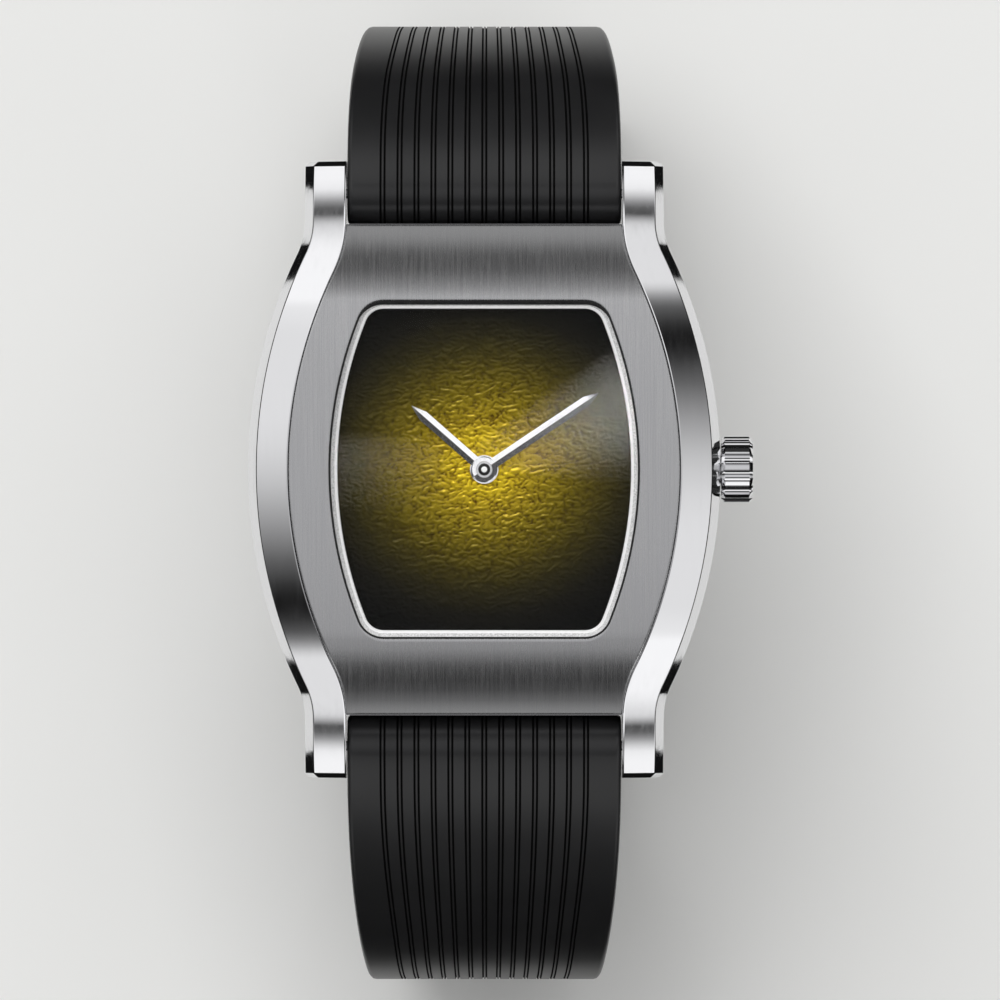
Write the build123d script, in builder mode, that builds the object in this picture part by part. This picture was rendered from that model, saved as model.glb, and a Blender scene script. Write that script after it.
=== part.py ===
from build123d import *
import os
from math import asin, atan2, ceil, cos, degrees, pi, radians, sin, sqrt, tan

# A barrel-cased wristwatch with a rubber strap, unbuckled, standing dial up on its two curved strap halves.
# Millimetres. The dial faces +Z, 12 o'clock is +Y and the crown is at +X.
# The origin is the middle of the caseback's outer face, under the axis of the hands.
os.makedirs("parts", exist_ok=True)

# Case seen from above
case_half_width = 18.9
lug_outer_half = 14.4
lug_outer_blend = 6.0
outer_blend_margin = 0.193
side_band_width = 0.7
bezel_half_width = 15.64
bezel_half_length = 19.65
lug_gap = 22.14
lug_inner_blend = 9.5
inner_blend_margin = 0.224
lug_past_bar = 2.6
lug_tip_bevel = 0.35

# Opening for crystal, flange and dial: a barrel with round corners, from which their outlines are inset
opening_half_width = 12.4
opening_side_radius = 32.8
opening_half_length = 13.5
opening_corner = 2.2
corner_least_share = 0.3

# Case seen from the side: a long flat arc in the middle, then a tighter arc down to each lug tip
flat_arc_radius = 150.0
shoulder_margin = 6.65
shoulder_fall = 5.2
container_top = 6.15
rail_top = 9.1
rail_slope_deg = 22.0
side_band_drop = 1.2
bezel_top = 9.4
bezel_gap = 0.04
rail_root = 1.0
rail_stations = 6
case_bottom = 0.4
lug_belly_margin = 3.65
lug_tip_side = 1.454
overrun = 2.0
running_gap = 0.03
seat_gap = 0.05

# Caseback, its gasket and its screws
caseback_half_width = 14.6
caseback_side_radius = 35.0
caseback_end_margin = 2.15
caseback_corner = 2.6
caseback_plate = 1.0
caseback_boss = 0.6
caseback_boss_rim = 0.9
gasket_side = 0.5
gasket_inset = -0.35
screw_x = 8.5
screw_end_margin = 2.2
case_screw_head_radius = 1.0
case_screw_head = 0.5
case_screw_radius = 0.5
case_screw_length = 3.4
screw_slot_width = 0.25
screw_slot_depth = 0.2

# Crystal, gasket, flange and dial
bore_inset = 0.45
crystal_bottom = 8.3
crystal_proud = 0.2
crystal_gasket_wall = 0.12
flange_outer_inset = 0.05
flange_top_inset = 0.2
flange_bottom_inset = 0.67
dial_inset = 0.12
dial_thickness = 0.4
dial_foot_radius = 0.35
dial_foot_length = 0.8
dial_foot_x = 8.0
dial_foot_y = 4.6
dial_hole_radius = 0.85

# Movement
holder_inset = 0.55
plate_radius = 10.85
ledge_radius = 10.5
plate_thickness = 1.2
recess_depth = 0.8
bridge_thickness = 0.5
bridge_bottom = 2.9
pillar_radius = 0.7
pillar_places_shares = ((0.424, 0.157), (-0.682, 0.221), (0.323, 0.396))
movement_screw_radius = 0.3
movement_screw_head_radius = 0.55
movement_screw_head = 0.3
movement_screw_grip = 0.5

# Wheels: module and teeth of each meshing pair, widths and heights
tooth_height_share = 0.8
tooth_depth_share = 1.0
tooth_root_share = 0.26
tooth_tip_share = 0.12
train_module = 0.12
fine_module = 0.08
hour_module = 0.15
centre_teeth = 48
intermediate_pinion_teeth = 8
intermediate_teeth = 60
rotor_pinion_teeth = 6
cannon_teeth = 10
minute_teeth = 40
minute_pinion_teeth = 10
hour_teeth = 30
setting_teeth = 20
wheel_thickness = 0.2
intermediate_direction_deg = 110.0
rotor_direction_deg = 160.0
minute_direction_deg = -35.0
setting_direction_deg = 25.0
arbor_radius = 0.28
pivot_radius = 0.12
pivot_length = 0.3
post_radius = 0.25
magnet_radius = 0.75
magnet_height = 0.4
stator_hole_radius = 1.0
stator_ring = 0.5
stator_thickness = 0.3

# Coil, battery and circuit
coil_y = 7.0
coil_left = -5.6
coil_right = 1.4
coil_radius = 0.85
core_side = 0.6
core_tab = 1.4
stator_knee = 1.55
battery_x = -5.4
battery_y = -4.3
battery_radius = 3.4
battery_height = 2.1
battery_cap_radius = 2.6
battery_cap_height = 0.2
clip_thickness = 0.22
clip_width = 2.2
board_outer_radius = 9.9
board_inner_radius = 4.8
board_thickness = 0.25
board_start_deg = -98.0
board_end_deg = -38.0
chip_side = 2.0
chip_height = 0.6
chip_direction_deg = -52.0
can_radius = 0.75
can_length = 4.6
can_lead = 0.6
can_direction_deg = -80.0

# Hands
hour_hand_length = 7.7
hour_hand_angle_deg = 311.2
minute_hand_length = 11.0
minute_hand_angle_deg = 56.3
hand_width = 0.84
hand_tip = 1.5
hand_tail = 0.8
hand_thickness = 0.18
hand_hub_radius = 1.1
hour_pipe_radius = 0.75
cannon_radius = 0.45
hour_hand_bottom = 7.0
minute_hand_bottom = 7.45

# Crown, stem and setting parts
stem_height = 4.6
stem_radius = 0.45
stem_end = 6.1
stem_square = 0.6
crown_gap = 0.06
crown_length = 2.56
crown_radius = 2.64
crown_lobes = 12
crown_flute_radius = 0.55
crown_flute_depth_share = 0.4
crown_flute_start_deg = 10.0
crown_bevel = 0.3
crown_wall = 0.9
crown_pull = 0.8
tube_outer_radius = 1.25
tube_inner_radius = 0.6
tube_inner_end = 12.6
tube_proud = 1.3
crown_ring_radius = 0.22
clutch_radius = 1.0
clutch_inner_end = 7.6
clutch_length = 1.1
clutch_travel = 0.55
clutch_groove = 0.36
clutch_groove_radius = 0.62
clutch_teeth = 12
lever_thickness = 0.3
lever_groove_x = 9.2
lever_groove = 0.4
lever_groove_radius = 0.3
lever_pivot_y = 2.9
yoke_pivot_y = -3.2
lever_arm_width = 0.6
lever_boss_radius = 0.42

# Spring bars
bar_height = 2.6
bar_radius = 0.75
bar_bore_radius = 0.5
bar_cap = 0.4
bar_end_gap = 0.1
pin_radius = 0.4
pin_reach = 0.9
pin_flange = 0.4
pin_travel = 1.0
lug_hole_depth = 1.2
spring_wire_radius = 0.07
spring_pitch = 1.1

# Strap: the line through the bar's axis leaves at a slope and bends down and in, in arcs
strap_width = 22.0
strap_narrow_width = 18.4
strap_taper_start = 2.0
strap_taper_end = 40.0
strap_start_deg = 20.0
strap_end_radius = 2.5
strap_inner_start = 2.0
strap_half_thickness = 1.4
strap_thin_end = 32.0
long_half_radius = 27.8
short_half_first_radius = 15.0
short_half_first_end_deg = 60.0
short_half_second_radius = 37.0
standing_depth = 47.0
short_straight = 8.2
tail_first_radius = 17.0
tail_first_deg = 60.0
tail_second_radius = 30.0
tail_second_length = 18.0
groove_count = 13
groove_pitch_share = 1.36 / 22.0
groove_width_share = 0.46 / 22.0
groove_floor_share = 0.18 / 22.0
groove_depth = 0.28
groove_length = 50.0
edge_bevel = 0.3
station_spacing = 5.0
tail_hole_radius = 1.15
tail_hole_pitch = 6.5
tail_hole_count = 7
tail_hole_first = 56.0

# Keepers and buckle
tail_room = 2.7
keeper_wall = 1.2
keeper_length = 5.0
keeper_side_gap = 0.25
sliding_keeper_deg = 30.0
buckle_wrap_radius = 1.5
buckle_side_gap = 0.3
buckle_arm = 1.7
buckle_thickness = 1.8
buckle_back = 2.0
buckle_reach = 13.0
buckle_cross = 2.0
buckle_corner = 1.8
buckle_edge = 0.35
tongue_width = 2.6
tongue_thickness = 0.9
tongue_slot_gap = 0.2
tongue_overhang = 0.4

# Lengths that follow from others: the strap's round ends meet the case, and the lugs reach past the bars
bar_y = bezel_half_length + strap_end_radius + seat_gap
lug_half_length = bar_y + lug_past_bar
lug_belly_start = bezel_half_length - lug_belly_margin
caseback_half_length = bezel_half_length - caseback_end_margin
screw_y = caseback_half_length - screw_end_margin
flat_arc_half = bezel_half_length - shoulder_margin
shoulder_slope = asin(flat_arc_half / flat_arc_radius)
shoulder_run = lug_half_length - flat_arc_half
shoulder_radius = (shoulder_run**2 + shoulder_fall**2) / (
    2 * (shoulder_fall * cos(shoulder_slope) - shoulder_run * sin(shoulder_slope))
)


def bow_radius(half_width, neck, blend, blend_end):
    """Radius of a bowed side whose hollow blend reaches the neck at a given length."""
    step = half_width - neck
    return (blend_end**2 - blend**2 + (blend - step) ** 2) / (2 * step)


bezel_side_radius = bow_radius(
    bezel_half_width, lug_gap / 2, lug_inner_blend, bezel_half_length + inner_blend_margin
)
case_side_radius = bow_radius(
    case_half_width, lug_outer_half, lug_outer_blend, bezel_half_length + outer_blend_margin
)


def step_file(piece, label):
    """Names a finished piece and writes it."""
    piece.part.label = label
    export_step(piece.part, f"parts/{label}.step")


def polar(radius, angle_deg):
    """Place at a distance and direction from the axis of the hands."""
    return (radius * cos(radians(angle_deg)), radius * sin(radians(angle_deg)))


def blend_place(half_width, radius, neck, blend):
    """Where the side arc meets the hollow blend, and how far out the blend ends at the neck."""
    run = neck + blend - (half_width - radius)
    rise = sqrt((radius + blend) ** 2 - run**2)
    share = radius / (radius + blend)
    return half_width - radius + share * run, share * rise, rise


def side_x(y, half_width, radius, neck, blend):
    """Half width of the lugged outline at a distance y from the middle."""
    meet_x, meet_y, blend_end = blend_place(half_width, radius, neck, blend)
    if abs(y) <= meet_y:
        return half_width - radius + sqrt(radius**2 - y**2)
    if abs(y) < blend_end:
        return neck + blend - sqrt(blend**2 - (blend_end - abs(y)) ** 2)
    return neck


def lugged_outline(half_width, radius, neck, blend, half_length):
    """Flat outline with bowed sides that run through hollow blends into straight necks."""
    meet_x, meet_y, blend_end = blend_place(half_width, radius, neck, blend)
    cut_length = min(blend_end, half_length)
    cut_x = side_x(cut_length, half_width, radius, neck, blend)
    middle_y = (meet_y + cut_length) / 2
    middle_x = side_x(middle_y, half_width, radius, neck, blend)
    with BuildSketch() as outline:
        with BuildLine():
            for side in (1, -1):
                ThreePointArc((side * meet_x, -meet_y), (side * half_width, 0), (side * meet_x, meet_y))
                for end in (1, -1):
                    ThreePointArc(
                        (side * meet_x, end * meet_y),
                        (side * middle_x, end * middle_y),
                        (side * cut_x, end * cut_length),
                    )
                    if half_length > blend_end:
                        Line((side * neck, end * blend_end), (side * neck, end * half_length))
            for end in (1, -1):
                Line((-cut_x, end * half_length), (cut_x, end * half_length))
        make_face()
    return outline.sketch


def barrel(inset, half_width, radius, half_length, corner):
    """Flat barrel outline with bowed sides, flat ends and round corners, inset all round."""
    bow = radius - inset
    width = half_width - inset
    length = half_length - inset
    end_x = width - bow + sqrt(bow**2 - length**2)
    with BuildSketch() as outline:
        with BuildLine():
            for side in (1, -1):
                ThreePointArc((side * end_x, -length), (side * width, 0), (side * end_x, length))
                Line((-end_x, side * length), (end_x, side * length))
        make_face()
        fillet(outline.vertices(), max(corner - inset, corner * corner_least_share))
    return outline.sketch


def opening(inset):
    """Outline of the opening for crystal, flange and dial, inset all round."""
    return barrel(inset, opening_half_width, opening_side_radius, opening_half_length, opening_corner)


def caseback_outline(inset):
    """Outline of the caseback, inset all round."""
    return barrel(
        inset, caseback_half_width, caseback_side_radius, caseback_half_length, caseback_corner
    )


def side_drop(y):
    """Fall of the case's top line, seen from the side, at a distance y from the middle."""
    if abs(y) <= flat_arc_half:
        return flat_arc_radius - sqrt(flat_arc_radius**2 - y**2)
    reach = sin(shoulder_slope) + (abs(y) - flat_arc_half) / shoulder_radius
    return flat_arc_radius * (1 - cos(shoulder_slope)) + shoulder_radius * (
        cos(shoulder_slope) - sqrt(1 - reach**2)
    )


# The lug's tip keeps the same height of upright side, however far the top line falls
tip_band_fall = (lug_outer_half - side_band_width - lug_gap / 2) * tan(radians(rail_slope_deg))
tip_side_top = rail_top - side_drop(lug_half_length) - tip_band_fall - side_band_drop
lug_belly_sag = case_bottom - tip_side_top + lug_tip_side


def lug_belly(y):
    """Height of the case's underside, which bows down under the lugs."""
    past = max(abs(y) - lug_belly_start, 0) / (lug_half_length - lug_belly_start)
    return case_bottom - lug_belly_sag * past**2


def under_top_line(top, half_length):
    """Side view of everything under the case's top line, with its top at the given height."""
    with BuildSketch() as profile:
        with BuildLine():
            ThreePointArc(
                (-flat_arc_half, top - side_drop(flat_arc_half)),
                (0, top),
                (flat_arc_half, top - side_drop(flat_arc_half)),
            )
            middle = (flat_arc_half + half_length) / 2
            for end in (1, -1):
                ThreePointArc(
                    (end * flat_arc_half, top - side_drop(flat_arc_half)),
                    (end * middle, top - side_drop(middle)),
                    (end * half_length, top - side_drop(half_length)),
                )
                Line((end * half_length, top - side_drop(half_length)), (end * half_length, 0))
            Line((-half_length, 0), (half_length, 0))
        make_face()
    return profile.sketch


def rail_section(y, side, inset):
    """Cross-section of a side rail: flat sides, a steep band and a top that slopes outwards."""
    inner = side_x(y, bezel_half_width, bezel_side_radius, lug_gap / 2, lug_inner_blend)
    outer = side_x(y, case_half_width, case_side_radius, lug_outer_half, lug_outer_blend) - inset
    band = outer - side_band_width
    inner_z = rail_top - side_drop(y) - inset
    band_z = inner_z - (band - inner) * tan(radians(rail_slope_deg))
    root = inner - rail_root
    with BuildSketch(Plane.XZ.offset(-y)) as section:
        with BuildLine():
            Polyline(
                (side * root, lug_belly(y) + inset),
                (side * outer, lug_belly(y) + inset),
                (side * outer, band_z - side_band_drop),
                (side * band, band_z),
                (side * inner, inner_z),
                (side * root, inner_z),
                close=True,
            )
        make_face()
    return section.sketch


# Case middle: the container that holds the movement, and along it the side rails with their lugs
rail_end = lug_half_length - lug_tip_bevel
caseback_seat = case_bottom + caseback_boss
inner_meet = blend_place(bezel_half_width, bezel_side_radius, lug_gap / 2, lug_inner_blend)[1]
outer_meet, outer_blend_end = blend_place(
    case_half_width, case_side_radius, lug_outer_half, lug_outer_blend
)[1:]
rail_breaks = sorted([flat_arc_half, inner_meet, outer_meet, outer_blend_end, rail_end])
with BuildPart() as case_middle:
    with BuildSketch(Plane.XY.offset(case_bottom)):
        add(
            lugged_outline(
                bezel_half_width, bezel_side_radius, lug_gap / 2, lug_inner_blend, bezel_half_length
            )
        )
    extrude(amount=container_top - case_bottom)
    # Bore for the movement, seat for the caseback and groove for its gasket
    with BuildSketch(Plane.XY.offset(case_bottom)):
        add(caseback_outline(-seat_gap))
    extrude(amount=caseback_seat - case_bottom, mode=Mode.SUBTRACT)
    with BuildSketch(Plane.XY.offset(caseback_seat)):
        add(opening(gasket_inset - gasket_side))
    extrude(amount=gasket_side, mode=Mode.SUBTRACT)
    with BuildSketch(Plane.XY.offset(caseback_seat)):
        add(opening(gasket_inset))
    extrude(amount=gasket_side)
    with BuildSketch(Plane.XY.offset(caseback_seat)):
        add(opening(bore_inset))
    extrude(amount=container_top, mode=Mode.SUBTRACT)
    # Side rails, in runs between the places where their curves change
    for side in (1, -1):
        runs = [(-rail_breaks[0], rail_breaks[0])]
        for start, stop in zip(rail_breaks, rail_breaks[1:]):
            runs += [(start, stop), (-stop, -start)]
        for start, stop in runs:
            loft(
                [
                    rail_section(start + (stop - start) * station / rail_stations, side, 0)
                    for station in range(rail_stations + 1)
                ]
            )
        for end in (1, -1):
            loft(
                [
                    rail_section(end * rail_end, side, 0),
                    rail_section(end * lug_half_length, side, lug_tip_bevel),
                ],
                ruled=True,
            )
    # The rails stand clear above the container, where the bezel sits
    with BuildSketch(Plane.XY.offset(container_top)):
        add(
            lugged_outline(
                bezel_half_width,
                bezel_side_radius,
                lug_gap / 2,
                lug_inner_blend,
                lug_half_length + overrun,
            )
        )
    extrude(amount=rail_top, mode=Mode.SUBTRACT)
    # Room for the strap between the lugs
    for end in (1, -1):
        with BuildSketch(Plane.XY.offset(-overrun)):
            with Locations((0, end * (bezel_half_length + lug_half_length / 2))):
                Rectangle(lug_gap, lug_half_length)
        extrude(amount=rail_top + overrun, mode=Mode.SUBTRACT)
    # Threaded holes for the four caseback screws
    with BuildSketch(Plane.XY.offset(caseback_seat)):
        with GridLocations(2 * screw_x, 2 * screw_y, 2, 2):
            Circle(case_screw_radius + running_gap)
    extrude(amount=case_screw_length, mode=Mode.SUBTRACT)
    # Hole for the crown tube
    with BuildSketch(Plane.YZ):
        with Locations((0, stem_height)):
            Circle(tube_outer_radius + running_gap)
    extrude(amount=case_half_width + overrun, mode=Mode.SUBTRACT)
    # Blind holes in the lugs for the spring bars' pins
    with BuildSketch(Plane.YZ):
        with Locations((bar_y, bar_height), (-bar_y, bar_height)):
            Circle(pin_radius + seat_gap)
    extrude(amount=lug_gap / 2 + lug_hole_depth, both=True, mode=Mode.SUBTRACT)
step_file(case_middle, "case_middle")

# Bezel: brushed plate between the rails, curving down at both ends, with the opening for the crystal
with BuildPart() as bezel:
    with BuildSketch(Plane.XY.offset(container_top)):
        add(
            lugged_outline(
                bezel_half_width - bezel_gap,
                bezel_side_radius - bezel_gap,
                lug_gap / 2 - bezel_gap,
                lug_inner_blend + bezel_gap,
                bezel_half_length,
            )
        )
        add(opening(0), mode=Mode.SUBTRACT)
    extrude(amount=bezel_top - container_top + overrun)
    with BuildSketch(Plane.YZ):
        add(under_top_line(bezel_top, bezel_half_length))
    extrude(amount=case_half_width, both=True, mode=Mode.INTERSECT)
step_file(bezel, "bezel")

# Crystal: flat underneath, and bowed lengthwise on top like the case
with BuildPart() as crystal:
    with BuildSketch(Plane.XY.offset(crystal_bottom)):
        add(opening(crystal_gasket_wall + running_gap))
    extrude(amount=bezel_top - crystal_bottom + overrun)
    with BuildSketch(Plane.YZ):
        add(under_top_line(bezel_top + crystal_proud, bezel_half_length))
    extrude(amount=case_half_width, both=True, mode=Mode.INTERSECT)
step_file(crystal, "crystal")

# Crystal gasket: thin ring between crystal and bezel, bowed like them
with BuildPart() as crystal_gasket:
    with BuildSketch(Plane.XY.offset(crystal_bottom)):
        add(opening(running_gap / 2))
        add(opening(crystal_gasket_wall + running_gap / 2), mode=Mode.SUBTRACT)
    extrude(amount=bezel_top - crystal_bottom + overrun)
    with BuildSketch(Plane.YZ):
        add(under_top_line(bezel_top - seat_gap, bezel_half_length))
    extrude(amount=case_half_width, both=True, mode=Mode.INTERSECT)
step_file(crystal_gasket, "crystal_gasket")

# Flange: ring on the dial's rim, with a sloping inner face, that carries the crystal
dial_top = container_top + dial_thickness
with BuildPart() as flange:
    with BuildSketch(Plane.XY.offset(dial_top)):
        add(opening(flange_outer_inset))
    extrude(amount=crystal_bottom - dial_top)
    loft(
        [
            Plane.XY.offset(dial_top) * opening(flange_bottom_inset),
            Plane.XY.offset(crystal_bottom) * opening(flange_top_inset),
        ],
        ruled=True,
        mode=Mode.SUBTRACT,
    )
step_file(flange, "flange")

# Dial: plate with a centre hole and two feet that go into the main plate
with BuildPart() as dial:
    with BuildSketch(Plane.XY.offset(container_top)):
        add(opening(dial_inset))
        Circle(dial_hole_radius, mode=Mode.SUBTRACT)
    extrude(amount=dial_thickness)
    with BuildSketch(Plane.XY.offset(container_top)):
        with Locations((-dial_foot_x, -dial_foot_y), (dial_foot_x, dial_foot_y)):
            Circle(dial_foot_radius)
    extrude(amount=-dial_foot_length)
step_file(dial, "dial")

# Caseback: plate sunk into the case's underside, with a rimmed boss that locates it in the bore
with BuildPart() as caseback:
    with BuildSketch(Plane.XY):
        add(caseback_outline(0))
    extrude(amount=caseback_plate)
    with BuildSketch(Plane.XY.offset(caseback_plate)):
        add(opening(bore_inset + seat_gap))
        add(opening(bore_inset + caseback_boss_rim), mode=Mode.SUBTRACT)
    extrude(amount=caseback_boss)
    with BuildSketch(Plane.XY):
        with GridLocations(2 * screw_x, 2 * screw_y, 2, 2):
            Circle(case_screw_radius + seat_gap)
    extrude(amount=caseback_plate, mode=Mode.SUBTRACT)
    with BuildSketch(Plane.XY):
        with GridLocations(2 * screw_x, 2 * screw_y, 2, 2):
            Circle(case_screw_head_radius + seat_gap)
    extrude(amount=case_screw_head, mode=Mode.SUBTRACT)
step_file(caseback, "caseback")

# Caseback gasket: flat ring in the groove above the caseback
with BuildPart() as caseback_gasket:
    with BuildSketch(Plane.XY.offset(caseback_seat)):
        add(opening(gasket_inset - gasket_side + running_gap))
        add(opening(gasket_inset - running_gap), mode=Mode.SUBTRACT)
    extrude(amount=gasket_side - running_gap)
step_file(caseback_gasket, "caseback_gasket")

# Four slotted caseback screws
with BuildPart() as caseback_screws:
    with BuildSketch(Plane.XY):
        with GridLocations(2 * screw_x, 2 * screw_y, 2, 2):
            Circle(case_screw_head_radius)
    extrude(amount=case_screw_head)
    with BuildSketch(Plane.XY.offset(case_screw_head)):
        with GridLocations(2 * screw_x, 2 * screw_y, 2, 2):
            Circle(case_screw_radius)
    extrude(amount=case_screw_length)
    with BuildSketch(Plane.XY):
        with GridLocations(2 * screw_x, 2 * screw_y, 2, 2):
            Rectangle(2 * case_screw_head_radius + overrun, screw_slot_width)
    extrude(amount=screw_slot_depth, mode=Mode.SUBTRACT)
step_file(caseback_screws, "caseback_screws")

# Places of the train's wheels
plate_bottom = container_top - plate_thickness
recess_floor = container_top - recess_depth
bridge_top = bridge_bottom + bridge_thickness


def pitch_radius(teeth, module):
    """Pitch radius of a wheel."""
    return teeth * module / 2


def beside(place, distance, direction_deg):
    """Place at a distance and direction from another."""
    step = polar(distance, direction_deg)
    return (place[0] + step[0], place[1] + step[1])


def direction(start, end):
    """Direction from one place to another, in degrees."""
    return degrees(atan2(end[1] - start[1], end[0] - start[0]))


centre_place = (0, 0)
intermediate_place = beside(
    centre_place,
    pitch_radius(centre_teeth + intermediate_pinion_teeth, train_module),
    intermediate_direction_deg,
)
rotor_place = beside(
    intermediate_place,
    pitch_radius(intermediate_teeth + rotor_pinion_teeth, fine_module),
    rotor_direction_deg,
)
minute_place = beside(
    centre_place, pitch_radius(cannon_teeth + minute_teeth, train_module), minute_direction_deg
)
setting_place = beside(
    minute_place, pitch_radius(minute_teeth + setting_teeth, train_module), setting_direction_deg
)
pillar_places = [(x * plate_radius, y * plate_radius) for x, y in pillar_places_shares]


def wheel_outline(teeth, module, tooth_direction_deg):
    """Outline of a toothed wheel round the origin, with one tooth in the given direction."""
    pitch = 2 * pi / teeth
    root = pitch_radius(teeth, module) - tooth_depth_share * module
    tip = pitch_radius(teeth, module) + tooth_height_share * module
    points = []
    for tooth in range(teeth):
        middle = radians(tooth_direction_deg) + tooth * pitch
        for radius, turn in (
            (root, -tooth_root_share),
            (tip, -tooth_tip_share),
            (tip, tooth_tip_share),
            (root, tooth_root_share),
        ):
            points.append(polar(radius, degrees(middle + turn * pitch)))
    with BuildSketch() as outline:
        with BuildLine():
            Polyline(*points, close=True)
        make_face()
    return outline.sketch


def gap_direction(towards_deg, teeth):
    """Tooth direction that leaves a gap facing the mating wheel."""
    return towards_deg + 180 / teeth


# Heights of the train, from the bridge up to the main plate, and of the motion work under the dial
centre_wheel_bottom = plate_bottom - 0.5 * plate_thickness + 0.5 * wheel_thickness
intermediate_bottom = bridge_top + 3 * wheel_thickness
stator_bottom = centre_wheel_bottom - 0.5 * wheel_thickness
cannon_bottom = recess_floor + seat_gap
hour_wheel_bottom = container_top - 1.5 * wheel_thickness

# Main plate: round plate with recesses, pillars, posts and the channel for the stem
with BuildPart() as main_plate:
    with BuildSketch(Plane.XY.offset(plate_bottom)):
        Circle(plate_radius)
    extrude(amount=plate_thickness)
    # Dial-side recesses for the motion work
    with BuildSketch(Plane.XY.offset(container_top)):
        Circle(pitch_radius(hour_teeth, hour_module) + 2 * wheel_thickness)
        with Locations(minute_place):
            Circle(pitch_radius(minute_teeth, train_module) + 2 * wheel_thickness)
        with Locations(setting_place):
            Circle(pitch_radius(setting_teeth, train_module) + wheel_thickness)
    extrude(amount=-recess_depth, mode=Mode.SUBTRACT)
    with BuildSketch(Plane.XY.offset(recess_floor)):
        with Locations(minute_place, setting_place):
            Circle(post_radius)
    extrude(amount=recess_depth - seat_gap)
    # Battery pocket, clutch slot and stem channel in the underside
    with BuildSketch(Plane.XY.offset(plate_bottom)):
        with Locations((battery_x, battery_y)):
            Circle(battery_radius + 2 * seat_gap)
    extrude(amount=2 * seat_gap, mode=Mode.SUBTRACT)
    clutch_slot_start = clutch_inner_end - clutch_travel - seat_gap
    clutch_slot_end = clutch_inner_end + clutch_length + seat_gap
    with BuildSketch(Plane.XY.offset(plate_bottom)):
        with Locations(((clutch_slot_start + clutch_slot_end) / 2, 0)):
            Rectangle(clutch_slot_end - clutch_slot_start, 2 * (clutch_radius + 2 * seat_gap))
    extrude(
        amount=stem_height + clutch_radius + 2 * seat_gap - plate_bottom, mode=Mode.SUBTRACT
    )
    with BuildSketch(Plane.YZ.offset(stem_end - 2 * seat_gap)):
        with Locations((0, stem_height)):
            Circle(stem_radius + 2 * seat_gap)
    extrude(amount=plate_radius, mode=Mode.SUBTRACT)
    # Pillars for the bridge, bosses for the stator's ends, posts for lever and yoke
    with BuildSketch(Plane.XY.offset(plate_bottom)):
        with Locations(*pillar_places):
            Circle(pillar_radius)
    extrude(amount=bridge_top - plate_bottom)
    coil_screw_places = [
        (coil_left - core_tab / 2, coil_y),
        (coil_right + core_tab / 2, coil_y),
    ]
    with BuildSketch(Plane.XY.offset(plate_bottom)):
        with Locations(*coil_screw_places):
            Circle(core_tab / 2)
    extrude(amount=stator_bottom + stator_thickness - plate_bottom)
    lever_pivot = (lever_groove_x + crown_pull / 2, lever_pivot_y)
    yoke_pivot = (clutch_inner_end + clutch_length / 2 - clutch_travel / 2, yoke_pivot_y)
    with BuildSketch(Plane.XY.offset(plate_bottom)):
        with Locations(lever_pivot, yoke_pivot):
            Circle(post_radius)
    extrude(amount=stem_height - lever_thickness - plate_bottom)
    # Bearings: centre arbor right through, blind holes for the other pivots
    with BuildSketch(Plane.XY.offset(plate_bottom)):
        Circle(arbor_radius + running_gap)
    extrude(amount=plate_thickness, mode=Mode.SUBTRACT)
    with BuildSketch(Plane.XY.offset(plate_bottom)):
        with Locations(intermediate_place, rotor_place):
            Circle(pivot_radius + running_gap)
    extrude(amount=pivot_length, mode=Mode.SUBTRACT)
    # Holes for the dial's feet and for the screws
    with BuildSketch(Plane.XY.offset(container_top)):
        with Locations((-dial_foot_x, -dial_foot_y), (dial_foot_x, dial_foot_y)):
            Circle(dial_foot_radius + seat_gap)
    extrude(amount=-dial_foot_length - seat_gap, mode=Mode.SUBTRACT)
    with BuildSketch(Plane.XY.offset(bridge_top)):
        with Locations(*pillar_places, *coil_screw_places):
            Circle(movement_screw_radius + running_gap)
    extrude(amount=plate_bottom + movement_screw_grip - bridge_top, mode=Mode.SUBTRACT)
step_file(main_plate, "main_plate")

# Movement holder: plastic block that fills the case's bore round the movement
with BuildPart() as movement_holder:
    with BuildSketch(Plane.XY.offset(caseback_plate + caseback_boss)):
        add(opening(holder_inset))
        Circle(ledge_radius, mode=Mode.SUBTRACT)
    extrude(amount=container_top - caseback_plate - caseback_boss)
    with BuildSketch(Plane.XY.offset(plate_bottom)):
        Circle(plate_radius + seat_gap)
    extrude(amount=plate_thickness, mode=Mode.SUBTRACT)
    with BuildSketch(Plane.YZ):
        with Locations((0, stem_height)):
            Circle(stem_radius + 2 * seat_gap)
    extrude(amount=opening_half_width, mode=Mode.SUBTRACT)
step_file(movement_holder, "movement_holder")

# Train bridge: plate under the train, carried by the pillars
with BuildPart() as train_bridge:
    with BuildSketch(Plane.XY.offset(bridge_bottom)):
        with BuildSketch(mode=Mode.PRIVATE) as bridge_discs:
            with Locations(*pillar_places):
                Circle(pillar_radius)
            with Locations(rotor_place, centre_place):
                Circle(stator_hole_radius)
        make_hull(bridge_discs.sketch.edges())
        with Locations(*pillar_places):
            Circle(movement_screw_radius + seat_gap, mode=Mode.SUBTRACT)
        with Locations(centre_place, intermediate_place, rotor_place):
            Circle(pivot_radius + running_gap, mode=Mode.SUBTRACT)
    extrude(amount=bridge_thickness)
step_file(train_bridge, "train_bridge")

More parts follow.
